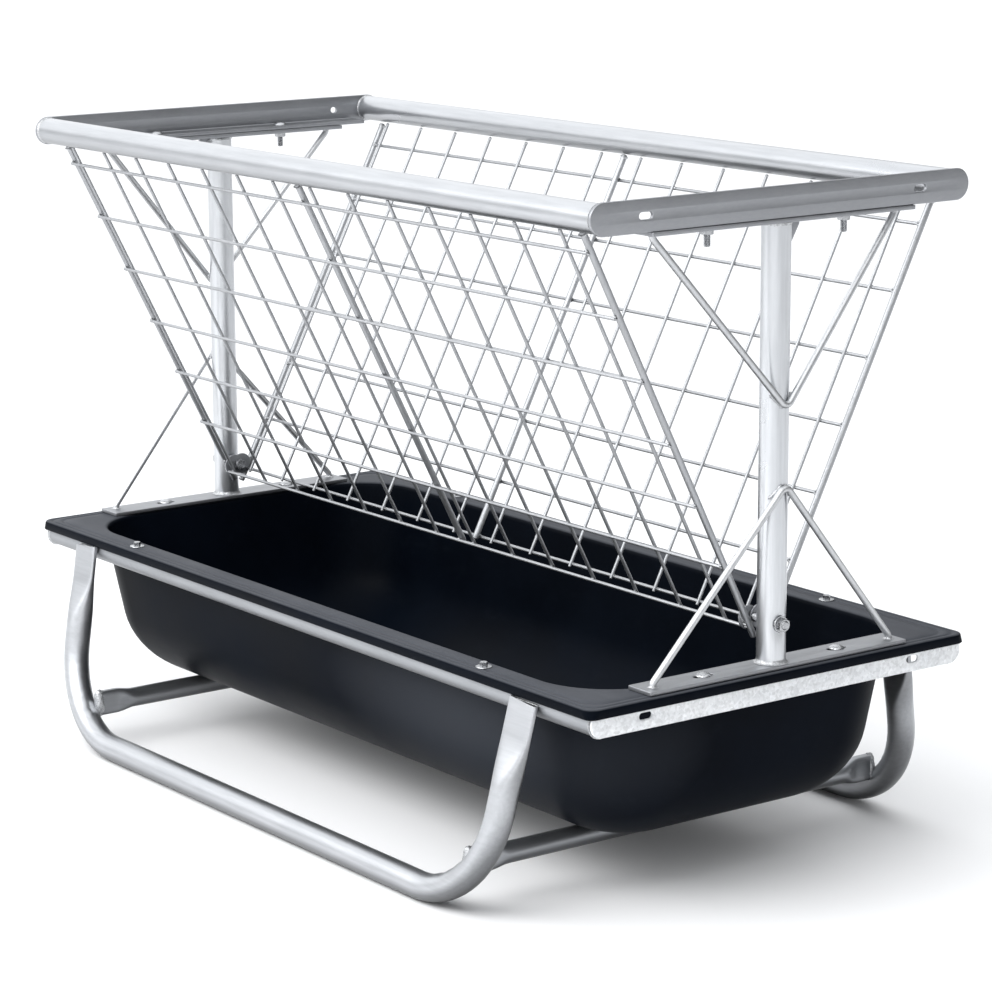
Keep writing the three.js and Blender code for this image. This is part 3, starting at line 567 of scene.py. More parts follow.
def add_hex(shape, base, axis, flats, height, hole=0.0):
    """A nut or a bolt head with its corners turned off at both ends."""
    axes = around(axis)
    per_ring = 48
    apothem = flats / 2
    seat = apothem * 0.95
    slope = math.tan(math.radians(30))
    angles = [2 * math.pi * j / per_ring for j in range(per_ring)]

    def corner(angle):
        return apothem / math.cos((angle % (math.pi / 3)) - math.pi / 6)

    def ring(radius_of, height_of):
        return [base + axis * height_of(a) + spoke(axes, a) * radius_of(a) for a in angles]

    def drop(angle):
        return (corner(angle) - seat) * slope

    rings = [
        ring(lambda a: seat, lambda a: 0),
        ring(corner, drop),
        ring(corner, lambda a: height - drop(a)),
        ring(lambda a: seat, lambda a: height),
    ]
    if hole:
        edge = 0.7 * MM
        for radius, lift in ((hole + edge, height), (hole, height - edge), (hole, edge), (hole + edge, 0)):
            rings.append(ring(lambda a: radius, lambda a: lift))
    points = [point for each in rings for point in each]
    shape.add(points, rings_to_faces(len(rings), per_ring, closed=bool(hole)), BOLT_METAL)


def add_thread(shape, base, axis, radius, length, pitch=1.5 * MM):
    """A threaded shank: its surface rises and falls once a pitch on a helix, and ends in a cone."""
    axes = around(axis)
    sides = 24
    per_pitch = 6
    depth = 0.55 * pitch
    steps = max(4, int(length / pitch * per_pitch))
    points = []
    for i in range(steps + 1):
        height = length * i / steps
        taper = min(1.0, (length - height) / (1.2 * pitch) + 0.25)
        for j in range(sides):
            turn = j / sides
            phase = (height / pitch - turn) % 1.0
            ridge = 1 - abs(2 * phase - 1)
            reach = (radius - depth * (1 - ridge) * 0.8) * (0.72 + 0.28 * taper)
            points.append(base + axis * height + spoke(axes, 2 * math.pi * turn) * reach)
    shape.add(points, rings_to_faces(steps + 1, sides), BOLT_METAL)


def add_bead(shape, path, radius, seed, squash=1.0, reference=Z_AXIS):
    """A weld bead along a path: rippled like laid coins, and a little uneven."""
    draw = random.Random(seed)
    walk = [path[0]]
    for end in path[1:]:
        start = walk[-1]
        count = max(1, round((end - start).length / (BEAD_RIPPLE / 3)))
        walk.extend(start.lerp(end, k / count) for k in range(1, count + 1))
    total = len(walk)
    sides = 10
    offsets = [draw.uniform(-1, 1) for _ in range(total // 3 + 2)]
    points = []
    for i, place in enumerate(walk):
        direction = (walk[min(i + 1, total - 1)] - walk[max(i - 1, 0)]).normalized()
        guide = reference if abs(direction.dot(reference)) < 0.95 else X_AXIS
        across, up = cross_axes(direction, guide)
        crest = 0.84 + 0.16 * abs(math.sin(math.pi * i / 3))
        swell = 1 + 0.14 * offsets[i // 3]
        ending = min(1.0, 0.35 + 0.33 * min(i, total - 1 - i))
        size = radius * crest * swell * ending
        for j in range(sides):
            angle = 2 * math.pi * j / sides
            points.append(place + across * size * math.cos(angle) + up * size * squash * math.sin(angle))
    shape.add(points, rings_to_faces(total, sides), WELD_METAL)


# Each pair is the fillet's spread from the tube and its height up the tube, as shares.
FILLET_SECTION = [(0.0, 1.0), (0.12, 0.62), (0.34, 0.32), (0.66, 0.12),
                  (1.0, 0.0), (0.5, -0.04), (-0.2, 0.0), (-0.2, 0.9)]


def add_fillet(shape, base, axis, radius, rise, reach, seed, ripples=22):
    """A weld fillet around a round tube that stands on a plate: a rippled flare."""
    axes = around(axis)
    draw = random.Random(seed)
    sides = ripples * 4
    wobble = [draw.uniform(0.88, 1.16) for _ in range(ripples)]
    points = []
    for spread, lift in FILLET_SECTION:
        for j in range(sides):
            share = wobble[j // 4] * (0.92 + 0.08 * math.cos(math.pi * j / 2))
            out = radius + reach * spread * (share if spread > 0 else 1)
            height = rise * lift * (share if lift > 0 else 1)
            points.append(base + axis * height + spoke(axes, 2 * math.pi * j / sides) * out)
    shape.add(points, rings_to_faces(len(FILLET_SECTION), sides, closed=True), WELD_METAL)


def slot_outline(length, width, x=0.0, y=0.0, steps=10):
    radius = width / 2
    points = []
    for side, start in ((1, -math.pi / 2), (-1, math.pi / 2)):
        centre = x + side * (length / 2 - radius)
        for i in range(steps + 1):
            angle = start + math.pi * i / steps
            points.append((centre + radius * math.cos(angle), y + radius * math.sin(angle)))
    return points


def circle_outline(radius, x=0.0, y=0.0, sides=28):
    turn = 2 * math.pi / sides
    return [(x + radius * math.cos(turn * i), y + radius * math.sin(turn * i)) for i in range(sides)]


def rounded_rectangle(half_x, half_y, corner, steps=6):
    points = []
    for quarter, (sx, sy) in enumerate(((1, 1), (-1, 1), (-1, -1), (1, -1))):
        for i in range(steps + 1):
            angle = math.pi / 2 * (quarter + i / steps)
            x = sx * (half_x - corner) + corner * math.cos(angle)
            y = sy * (half_y - corner) + corner * math.sin(angle)
            points.append((x, y))
    return points


def add_plate(shape, outline, holes, thickness, edge, to_world, material):
    """A flat plate with rounded edges and holes. It is drawn in x and y around z = 0, and to_world
    turns it into place."""
    curve = bpy.data.curves.new("plate_outline", "CURVE")
    curve.dimensions = "2D"
    curve.fill_mode = "BOTH"
    curve.extrude = thickness / 2 - edge
    curve.bevel_depth = edge
    curve.bevel_resolution = 3
    curve.offset = -edge
    for loop in [outline, *holes]:
        spline = curve.splines.new("POLY")
        spline.points.add(len(loop) - 1)
        for point, (x, y) in zip(spline.points, loop):
            point.co = (x, y, 0, 1)
        spline.use_cyclic_u = True
    holder = bpy.data.objects.new("plate_outline", curve)
    bpy.context.scene.collection.objects.link(holder)
    graph = bpy.context.evaluated_depsgraph_get()
    mesh = bpy.data.meshes.new_from_object(holder.evaluated_get(graph))
    solid = bmesh.new()
    solid.from_mesh(mesh)
    bmesh.ops.remove_doubles(solid, verts=solid.verts, dist=0.00002)
    solid.verts.index_update()
    points = [to_world @ vert.co for vert in solid.verts]
    faces = [[vert.index for vert in face.verts] for face in solid.faces]
    solid.free()
    bpy.data.objects.remove(holder)
    bpy.data.curves.remove(curve)
    bpy.data.meshes.remove(mesh)
    shape.add(points, faces, material)


def upright_x(x, z):
    """Places a plate drawn in x and y so that its x runs along Y, its y along Z and it faces X."""
    turn = Matrix((Y_AXIS, Z_AXIS, X_AXIS)).transposed().to_4x4()
    return Matrix.Translation((x, 0, z)) @ turn


def middle(name):
    low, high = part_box(name)
    return (low + high) / 2


def half_size(name):
    low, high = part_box(name)
    return (high - low) / 2


# ---- trough -------------------------------------------------------------------------------

def rounded_ring(half_x, half_y, corner, z, steps=14):
    return [Vector((x, y, z)) for x, y in rounded_rectangle(half_x, half_y, corner, steps)]


def basin_rings(grow, floor_z, mouth_z, arc_steps=12, wall_steps=6):
    """Rings of the basin's wall from its floor up. grow is how far they stand outside its inside."""
    low = floor_z - grow
    radius = BASIN_FLOOR_RADIUS + grow
    depth = mouth_z - low

    def wall_ring(inset, z):
        along = (mouth_z - z) / depth
        half_x = BASIN_HALF_X + grow - BASIN_TAPER_X * along - inset
        half_y = BASIN_HALF_Y + grow - BASIN_TAPER_Y * along - inset
        return rounded_ring(half_x, half_y, BASIN_CORNER + grow - inset * 0.8, z)

    rings = []
    for i in range(arc_steps + 1):
        angle = math.pi / 2 * i / arc_steps
        rings.append(wall_ring(radius * (1 - math.sin(angle)), low + radius * (1 - math.cos(angle))))
    top = low + radius
    for i in range(1, wall_steps):
        rings.append(wall_ring(0, top + (mouth_z - top) * i / wall_steps))
    return rings


# How far in from the flange's outer edge, and how deep, in millimetres: a groove, a flat, and two
# low steps before the mouth.
FLANGE_STEPS = [(7, 0), (8, 1.1), (10, 1.1), (11, 0), (18, 0),
                (19, 0.9), (21.5, 0.9), (22.5, 0.1), (34, 0.1)]
TUB_LIP_DROP = 15 * MM
TUB_LIP_EDGE = 1.3 * MM
TUB_RIM_EDGE = 4 * MM


def build_trough():
    low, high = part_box("trough_tub")
    top = high.z
    floor_z = low.z + TUB_WALL
    under = top - TUB_WALL
    half_x, half_y = high.x, high.y
    mouth_z = top - BASIN_MOUTH_RADIUS
    lip_z = top - TUB_LIP_DROP
    inner = [size - TUB_LIP_THICKNESS for size in (half_x, half_y, TUB_LIP_CORNER)]
    rings = basin_rings(TUB_WALL, floor_z, mouth_z)
    outside = [size + TUB_WALL for size in (BASIN_HALF_X, BASIN_HALF_Y, BASIN_CORNER)]
    rings.append(rounded_ring(*outside, under))
    rings.append(rounded_ring(*inner, under))
    rings.append(rounded_ring(*inner, lip_z + 1.5 * MM))
    rings.append(rounded_ring(*[size + TUB_LIP_EDGE for size in inner], lip_z))
    rings.append(rounded_ring(half_x - TUB_LIP_EDGE, half_y - TUB_LIP_EDGE, TUB_LIP_CORNER, lip_z))
    rings.append(rounded_ring(half_x, half_y, TUB_LIP_CORNER + 1 * MM, lip_z + 1.5 * MM))
    for i in range(6):
        angle = math.pi / 2 * i / 5
        pull = TUB_RIM_EDGE * (1 - math.cos(angle))
        z = top - TUB_RIM_EDGE + TUB_RIM_EDGE * math.sin(angle)
        rings.append(rounded_ring(half_x - pull, half_y - pull, TUB_CORNER - pull, z))
    for inwards, depth in FLANGE_STEPS:
        pull = inwards * MM
        share = inwards / 50
        corner = TUB_CORNER + (BASIN_CORNER - TUB_CORNER) * share ** 2 * 0.6
        rings.append(rounded_ring(half_x - pull, half_y - pull, corner, top - depth * MM))
    for i in range(7):
        angle = math.pi / 2 * i / 6
        out = BASIN_MOUTH_RADIUS * (1 - math.sin(angle))
        z = mouth_z + BASIN_MOUTH_RADIUS * math.cos(angle)
        rings.append(rounded_ring(BASIN_HALF_X + out, BASIN_HALF_Y + out, BASIN_CORNER + out, z))
    rings.extend(reversed(basin_rings(0, floor_z, mouth_z)))
    points = [point for ring in rings for point in ring]
    # the walls of a moulding are never quite flat
    for point in points:
        wave = noise.noise(Vector((point.x * 4.2, point.y * 4.2, point.z * 4.2)))
        beyond = max(abs(point.x) - BASIN_HALF_X, abs(point.y) - BASIN_HALF_Y)
        if point.z < under - 2 * MM and beyond < 6 * MM:
            outward = Vector((point.x / BASIN_HALF_X, point.y / BASIN_HALF_Y, 0)).normalized()
            point += outward * wave * 1.3 * MM
    # nor is its lip quite level
    for point in points:
        beyond = max(abs(point.x) - (half_x - 6 * MM), abs(point.y) - (half_y - 6 * MM))
        if beyond > 0 and point.z < under - 1 * MM:
            point.z += 1.6 * MM * noise.noise(Vector((point.x * 3, point.y * 3, 0)))
    shape = Shape()
    shape.add(points, rings_to_faces(len(rings), len(rings[0])), TUB_PLASTIC)
    shape.place("trough_tub", 50, "black_polyethylene")


# ---- base frame ---------------------------------------------------------------------------

def build_long_tube(node, side, metal, fit, steps, sides, reach, seed, ripples=22):
    """A straight tube along a side, welded at both ends. fit is its radius in its box's half."""
    centre, half = middle(node), half_size(node)
    radius = half.z * fit
    start = Vector((-half.x, centre.y, centre.z))
    path = straight(start, start + X_AXIS * 2 * half.x, steps)
    shape = Shape()
    add_pipe(shape, path, Y_AXIS, lambda i: round_outline(radius, sides),
             lambda i: round_outline(radius - TUBE_WALL, sides), metal)
    for end in (-1, 1):
        face = Vector((end * half.x, centre.y, centre.z))
        add_fillet(shape, face, X_AXIS * -end, radius, 4 * MM, reach, seed + side + end, ripples)
    shape.place(node)


def build_angle(kind, end_name, end, material, thickness, shelf_half_y, shelf_low):
    """An end angle: an upright face with round ends and two slots, and a level leg inwards."""
    node = f"{kind}_angle_{end_name}"
    low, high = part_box(node)
    height = high.z - low.z
    middle_z = (high.z + low.z) / 2
    half_y = high.y
    outer_x = high.x if end > 0 else low.x
    inner_x = low.x if end > 0 else high.x
    slot_length = LEFT_RING_SLOT_LENGTH if kind == "top" and end < 0 else ANGLE_SLOT_LENGTH
    slots = [slot_outline(slot_length, ANGLE_SLOT_HEIGHT, y) for y in (-ANGLE_SLOT_Y, ANGLE_SLOT_Y)]
    shape = Shape()
    # the upright face
    face_x = outer_x - end * thickness / 2
    face = slot_outline(2 * half_y, height, steps=24)
    add_plate(shape, face, slots, thickness, 1.8 * MM, upright_x(face_x, middle_z), material)
    # the level leg, its bolt holes in line with the post
    near_x = outer_x - end * thickness * 0.7
    leg_x = (inner_x + near_x) / 2
    post_x = middle(f"post_{end_name}").x
    holes = [circle_outline(BOLT_HOLE / 2, post_x - leg_x, y) for y in (-STRIP_BOLT_Y, STRIP_BOLT_Y)]
    leg_half_x = abs(near_x - inner_x) / 2
    leg_z = low.z + thickness / 2 if shelf_low else high.z - thickness / 2
    leg = rounded_rectangle(leg_half_x, shelf_half_y, 2.5 * MM)
    add_plate(shape, leg, holes, thickness, 0.9 * MM, Matrix.Translation((leg_x, 0, leg_z)), material)
    # the inside of the bend between face and leg
    root_z = leg_z + (thickness / 2 if shelf_low else -thickness / 2)
    root = Vector((outer_x - end * thickness, 0, root_z))
    ways = (-end, 1 if shelf_low else -1)
    fillet = 4 * MM
    section = [(0, 0), (fillet, 0)]
    section += [(fillet * (1 - math.sin(a)), fillet * (1 - math.cos(a))) for a in (0.39, 0.785, 1.18)]
    section += [(0, fillet)]
    points = []
    for y in (-shelf_half_y + 3 * MM, shelf_half_y - 3 * MM):
        points += [root + Vector((ways[0] * (a - 0.5 * MM), y, ways[1] * (b - 0.5 * MM))) for a, b in section]
    shape.add(points, rings_to_faces(2, len(section)), material)
    slot = "galvanised_tube" if kind == "top" else "galvanised_angle"
    shape.place(node, 35, slot)


def smooth_share(value):
    value = min(1.0, max(0.0, value))
    return value * value * (3 - 2 * value)


def build_leg_skid(side_name, side):
    """Leg, skid and leg of one bent tube, flattened at the leg tops and creased inside its bends."""
    node = f"leg_skid_{side_name}"
    up = Vector((0, -side * math.sin(SKID_LEAN), math.cos(SKID_LEAN)))
    origin = Vector((0, side * SKID_Y, SKID_RADIUS))
    leg_height = (LEG_TOP_Z - SKID_RADIUS) / math.cos(SKID_LEAN)
    corners = [origin + X_AXIS * x + up * z for x, z in (
        (-LEG_TOP_X, leg_height), (-SKID_CORNER_X, 0), (SKID_CORNER_X, 0), (LEG_TOP_X, leg_height))]
    path = bent(corners, SKID_BEND_RADIUS, 48, 7 * MM)
    normal = X_AXIS.cross(up).normalized()
    directions = tangents(path)
    sides = 48
    heights = [(place - origin).dot(up) for place in path]
    flats = [1 - smooth_share((leg_height - h - LEG_FLAT_LENGTH) / LEG_FLAT_BLEND) for h in heights]
    bends = []
    for i in range(len(path)):
        before = directions[max(i - 1, 0)]
        after = directions[min(i + 1, len(path) - 1)]
        bends.append(1.0 if before.angle(after) > 0.01 else 0.0)
    runs = [sum(bends[max(0, i - 5):i + 6]) / 11 for i in range(len(path))]
    draw = random.Random(31 + side)
    creases = []
    for end in (-1, 1):
        for _ in range(7):
            place = end * draw.uniform(470, 600) * MM
            creases.append((place, draw.uniform(0.4, 1.0), draw.uniform(3, 7) * MM))

    def outline(i, radius):
        flat = flats[i]
        points = round_outline(radius, sides, flat, LEG_FLAT_THICKNESS * radius / SKID_RADIUS,
                               LEG_FLAT_WIDTH * radius / SKID_RADIUS)
        if runs[i] <= 0:
            return points
        arc = (path[i] - origin).x
        height = heights[i]
        shaped = []
        for a, b in points:
            inner_side = max(0.0, inward_sign(i) * a / radius)
            dent = 0.0
            for place, depth, width in creases:
                gap = (abs(arc) - abs(place)) + (height * 0.6 - 0.03) if arc * place > 0 else 1.0
                dent += depth * math.exp(-(gap / width) ** 2)
            pull = runs[i] * inner_side ** 1.6 * (0.9 * dent + 0.35 * math.sin(height * 420)) * MM
            oval = 1 - 0.018 * runs[i] * abs(a) / radius
            shaped.append((a * oval * (1 - pull / radius), b))
        return shaped

    def inward_sign(i):
        across, _ = cross_axes(directions[i], normal)
        centre = origin + X_AXIS * math.copysign(SKID_CORNER_X - SKID_BEND_RADIUS, path[i].x) + up * 0.16
        return 1.0 if across.dot(centre - path[i]) > 0 else -1.0

    shape = Shape()
    add_pipe(shape, path, normal, lambda i: outline(i, SKID_RADIUS),
             lambda i: outline(i, SKID_RADIUS - TUBE_WALL), SKID_METAL)
    for end in (-1, 1):
        top = LEG_TOP_Z - 2 * MM
        leg = origin + X_AXIS * end * LEG_TOP_X + up * ((top - SKID_RADIUS) / math.cos(SKID_LEAN))
        half_width = LEG_FLAT_WIDTH / 2 - 3 * MM
        ends = [leg + Vector((way * half_width, -side * LEG_FLAT_THICKNESS * 0.5, 0)) for way in (-1, 1)]
        add_bead(shape, ends, 2.2 * MM, 51 + end, squash=0.8)
    shape.place(node, sharp=60)


def add_end_weld(shape, face, side, seed):
    """The thick rough weld that closes a cross tube's flat end against the leg."""
    draw = random.Random(seed)
    sides = 44
    wobble = [draw.uniform(-1, 1) for _ in range(sides)]
    section = [(-2, 0.2), (-1.5, 1.2), (0, 1.9), (2, 2.2), (4.5, 1.9), (7, 0.9), (9, -1.5), (10, -5)]
    points = []
    for along, out in section:
        for j in range(sides):
            angle = 2 * math.pi * j / sides
            ripple = 0.6 * math.sin(2 * math.pi * j / 5.5 + along) + 0.6 * wobble[j]
            spread = (out + ripple) * MM
            points.append(face + Vector((
                (CROSS_FLAT_THICKNESS / 2 + spread) * math.cos(angle),
                side * (along + 0.5 * wobble[j - 7]) * MM,
                (CROSS_FLAT_HEIGHT / 2 + spread) * math.sin(angle),
            )))
    shape.add(points, rings_to_faces(len(section), sides), WELD_METAL)


def build_cross_tube(end_name, end):
    node = f"cross_tube_{end_name}"
    centre, half = middle(node), half_size(node)
    path = straight(Vector((centre.x, -half.y, centre.z)), Vector((centre.x, half.y, centre.z)), 120)
    flats = [1 - smooth_share((half.y - abs(p.y) - CROSS_FLAT_LENGTH) / CROSS_FLAT_BLEND) for p in path]

    def outline(i, radius):
        share = radius / CROSS_TUBE_RADIUS
        return round_outline(radius, 40, flats[i], CROSS_FLAT_THICKNESS * share, CROSS_FLAT_HEIGHT * share)

    shape = Shape()
    # the reference is X, so a section's first axis is upright and its second runs along X
    add_pipe(shape, path, X_AXIS, lambda i: outline(i, CROSS_TUBE_RADIUS),
             lambda i: outline(i, CROSS_TUBE_RADIUS - 2.6 * MM), CROSS_METAL)
    for side in (-1, 1):
        add_end_weld(shape, Vector((centre.x, side * half.y, centre.z)), side, 71 + side + end)
    shape.place(node)


# ---- end frames ---------------------------------------------------------------------------

def build_strip(node, slots):
    """A flat bar across the end: the plate on the trough's flange or the strap on the post."""
    centre, half = middle(node), half_size(node)
    shape = Shape()
    outline = rounded_rectangle(half.x, half.y, 2.2 * MM, 4)
    add_plate(shape, outline, slots, 2 * half.z, 1.1 * MM, Matrix.Translation(centre), PLATE_METAL)
    shape.place(node, sharp=35)


def build_post(end_name, end):
    """A tube with a dimple beside the foot bolt's nut, welded to the plate and to the strap."""
    node = f"post_{end_name}"
    centre, half = middle(node), half_size(node)
    radius = half.y
    low = Vector((centre.x, 0, centre.z - half.z))
    path = straight(low, low + Z_AXIS * 2 * half.z, 90)
    bolt_z = middle(f"foot_nut_{end_name}").z
    sides = 56

    across, up = cross_axes(Z_AXIS, Y_AXIS)

    def outer(i):
        squeeze = math.exp(-((path[i].z - bolt_z) / FOOT_DENT_SPREAD) ** 2)
        shaped = []
        for a, b in round_outline(radius, sides):
            facing = max(0.0, end * (across.x * a + up.x * b) / radius)
            dent = FOOT_DENT_DEPTH * squeeze * facing ** 4
            shaped.append((a * (1 - dent / radius), b * (1 - dent / radius)))
        return shaped

    shape = Shape()
    add_pipe(shape, path, Y_AXIS, outer, lambda i: round_outline(radius - TUBE_WALL, sides), POST_METAL)
    add_fillet(shape, low, Z_AXIS, radius, 6 * MM, 4.5 * MM, seed=91 + end)
    add_fillet(shape, low + Z_AXIS * 2 * half.z, -Z_AXIS, radius, 4.5 * MM, 3.6 * MM, seed=93 + end)
    shape.place(node)


def build_brace(kind, end_name, end, foot_x, apex_z):
    """A rod bent to a V, its feet on the end plate or under the strap and its bend on the post."""
    node = f"{kind}_brace_{end_name}"
    low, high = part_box(node)
    post = middle(f"post_{end_name}")
    base_z = low.z if kind == "lower" else high.z
    away = 1 if kind == "lower" else -1
    apex_x = (high.x if end > 0 else low.x) - end * BRACE_RADIUS
    foot = end * foot_x
    corners = [Vector(place) for place in (
        (foot, -BRACE_FOOT_Y, base_z), (foot, -BRACE_FOOT_Y, base_z + away * BRACE_STUB),
        (apex_x, 0, apex_z),
        (foot, BRACE_FOOT_Y, base_z + away * BRACE_STUB), (foot, BRACE_FOOT_Y, base_z))]
    path = bent(corners, BRACE_BEND_RADIUS, 10, 12 * MM)
    shape = Shape()
    add_rod(shape, path, BRACE_RADIUS, BRACE_METAL, X_AXIS, sides=20, end_round=0.1)
    for side in (-1, 1):
        base = Vector((foot, side * BRACE_FOOT_Y, base_z))
        add_fillet(shape, base, Z_AXIS * away, BRACE_RADIUS, 3.6 * MM, 3.4 * MM, 101 + side + end, ripples=9)
    # the bend is welded to the post along both of its sides
    reach = abs(post.x) + half_size(f"post_{end_name}").x
    for side in (-1, 1):
        slope = (apex_z - base_z) / BRACE_FOOT_Y
        weld = []
        for k in range(5):
            y = side * (3 + 4.2 * k) * MM
            inward = abs(y) ** 2 / (2 * POST_RADIUS)
            z = apex_z - slope * abs(y) + away * 3.4 * MM
            weld.append(Vector((end * (reach - inward + 0.6 * MM), y, z)))
        add_bead(shape, weld, 2.7 * MM, 131 + side + end, reference=X_AXIS)
    shape.place(node, sharp=50)


def build_gusset(end_name, end):
    """A small corner plate between the post's head and the strap, welded on both edges."""
    node = f"post_gusset_{end_name}"
    low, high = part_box(node)
    side = 1 if (low.y + high.y) > 0 else -1
    root_y, tip_y = (low.y, high.y) if side > 0 else (high.y, low.y)
    heel = side * 5 * MM
    outline = [(root_y, low.z), (root_y + heel, low.z), (tip_y, high.z - 6 * MM),
               (tip_y, high.z), (root_y, high.z)]
    centre_x = (low.x + high.x) / 2
    shape = Shape()
    add_plate(shape, outline, [], high.x - low.x, 0.8 * MM, upright_x(centre_x, 0), PLATE_METAL)
    for offset in (-1, 1):
        x = centre_x + offset * (high.x - low.x) / 2
        down = [Vector((x, root_y, high.z - 2 * MM)), Vector((x, root_y, low.z + 2 * MM))]
        along = [Vector((x, root_y, high.z)), Vector((x, tip_y, high.z))]
        add_bead(shape, down, 1.9 * MM, 151 + offset + end, reference=X_AXIS)
        add_bead(shape, along, 1.7 * MM, 155 + offset + end)
    shape.place(node, sharp=35)


# ---- basket -------------------------------------------------------------------------------

def panel_point(side, x, outwards, down):
    """A point of a sloping panel: outwards from the plane of its upright wires, and down it."""
    lean, rise = math.sin(PANEL_SLOPE), math.cos(PANEL_SLOPE)
    y = side * (PANEL_TOP_Y + outwards * rise - down * lean)
    return Vector((x, y, PANEL_TOP_Z - outwards * lean - down * rise))


def end_rod_x(side):
    return END_ROD_X + (BACK_END_ROD_SHIFT if side > 0 else 0.0)


def row_depths(side):
    for i in range(ROWS):
        drop = BACK_ROW_DROP if side > 0 and i < ROWS - 1 else 0.0
        yield FIRST_ROW + ROW_PITCH * i + drop


def upright_places():
    return [(i - (UPRIGHT_WIRES - 1) / 2) * WIRE_PITCH + GRID_OFFSET_X for i in range(UPRIGHT_WIRES)]


def add_nugget(shape, side, x, outwards, down, draw):
    """The squeezed metal where two wires are welded: a small flattened bulge between them."""
    wide = draw.uniform(3.1, 3.9) * MM
    tall = draw.uniform(3.1, 3.9) * MM
    deep = 1.9 * MM
    per_ring, rings = 10, 5
    points = []
    for i in range(1, rings):
        polar = math.pi * i / rings
        for j in range(per_ring):
            angle = 2 * math.pi * j / per_ring
            across = wide * math.sin(polar) * math.cos(angle)
            along = tall * math.sin(polar) * math.sin(angle)
            points.append(panel_point(side, x + across, outwards + deep * math.cos(polar), down + along))
    shape.add(points, rings_to_faces(rings - 1, per_ring), WIRE_METAL)


def build_wire_grid(side_name, side):
    node = f"wire_grid_{side_name}"
    draw = random.Random(201 + side)
    shape = Shape()
    row_out = 2 * WIRE_RADIUS - WIRE_WELD
    rod_inside = end_rod_x(side) - PANEL_ROD_RADIUS - 0.1 * MM
    lowest_half_x = rod_inside - EAR_THICKNESS - 0.3 * MM
    upper_half_x = rod_inside if side > 0 else ROW_HALF_X
    for x in upright_places():
        lean = draw.uniform(-0.7, 0.7) * MM
        top = panel_point(side, x + lean, 0, -2.5 * MM)
        end = panel_point(side, x - lean, 0, LAST_ROW + WIRE_OVERRUN + draw.uniform(-1.5, 0) * MM)
        add_rod(shape, straight(top, end, 8), WIRE_RADIUS, WIRE_METAL, X_AXIS, sides=12)
    for i, down in enumerate(row_depths(side)):
        half_x = lowest_half_x if i == ROWS - 1 else upper_half_x
        start = panel_point(side, -half_x, row_out, down + draw.uniform(-0.6, 0.6) * MM)
        end = panel_point(side, half_x, row_out, down + draw.uniform(-0.6, 0.6) * MM)
        add_rod(shape, straight(start, end, 16), WIRE_RADIUS, WIRE_METAL, Y_AXIS, sides=12)
        for x in upright_places():
            add_nugget(shape, side, x, row_out / 2, down, draw)
    for x in upright_places():
        add_nugget(shape, side, x, 0.5 * MM, 0.5 * MM, draw)
    shape.place(node, sharp=50)


def build_panel_rod(node, side, x, outwards, length, seed):
    """A heavier rod down a panel, with a spot of weld at each long wire and at the rail."""
    shape = Shape()
    steps = 40
    path = []
    for i in range(steps + 1):
        down = -2 * MM + (length + 2 * MM) * i / steps
        path.append(panel_point(side, x, outwards, down))
    add_rod(shape, path, PANEL_ROD_RADIUS, WIRE_METAL, X_AXIS, sides=20, end_round=0.35)
    draw = random.Random(seed)
    inward = -1 if x > 0 else 1
    row_out = 2 * WIRE_RADIUS - WIRE_WELD
    for down in row_depths(side):
        beside = x + inward * (PANEL_ROD_RADIUS * 0.8 if outwards > 0 else 0)
        for shift in (-2.2 * MM, 2.2 * MM):
            size = draw.uniform(0.85, 1.15)
            centre = panel_point(side, beside, row_out - 1.2 * MM, down + shift)
            ends = [centre - X_AXIS * 3.2 * MM * size, centre + X_AXIS * 3.2 * MM * size]
            add_bead(shape, ends, 1.7 * MM * size, seed + round(down * 1000), reference=Y_AXIS)
    collar = panel_point(side, x, outwards, 1 * MM)
    slope = (panel_point(side, x, outwards, 0.1) - panel_point(side, x, outwards, 0)).normalized()
    add_fillet(shape, collar, slope, PANEL_ROD_RADIUS, 4 * MM, 2.6 * MM, seed, ripples=9)
    shape.place(node, sharp=50)


EAR_WELD_DEPTHS = (634, 642, 650, 658)


def build_ear(side_name, side, end_name, end):
    """The lug on a panel's foot: a disc on the foot bolt, welded to the end rod's inner side."""
    node = f"panel_ear_{side_name}_{end_name}"
    low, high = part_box(node)
    centre_x = (low.x + high.x) / 2
    bolt_z = middle(f"foot_nut_{end_name}").z
    outline = circle_outline(EAR_RADIUS, side * EAR_SHIFT, 0, 48)
    hole = circle_outline(FOOT_BOLT_RADIUS + 0.8 * MM)
    shape = Shape()
    add_plate(shape, outline, [hole], high.x - low.x, 0.7 * MM, upright_x(centre_x, bolt_z), PLATE_METAL)
    outwards = BACK_END_ROD_OUT if side > 0 else -PANEL_ROD_INSET
    rod_side = centre_x + end * (EAR_THICKNESS / 2 + 0.5 * MM)
    for shift, seed in ((-PANEL_ROD_RADIUS * 0.9, 1), (PANEL_ROD_RADIUS * 0.9, 2)):
        weld = [panel_point(side, rod_side, outwards + shift, down * MM) for down in EAR_WELD_DEPTHS]
        add_bead(shape, weld, 1.8 * MM, 231 + side + end + 7 * seed, reference=X_AXIS)
    shape.place(node, sharp=35)


# ---- fasteners ----------------------------------------------------------------------------

# Shares of a domed head's radius and height, from its middle out.
DOME = [(0.0, 1.0), (0.25, 0.985), (0.48, 0.9), (0.7, 0.72),
        (0.87, 0.47), (0.96, 0.22), (1.0, 0.06), (0.985, 0.0)]


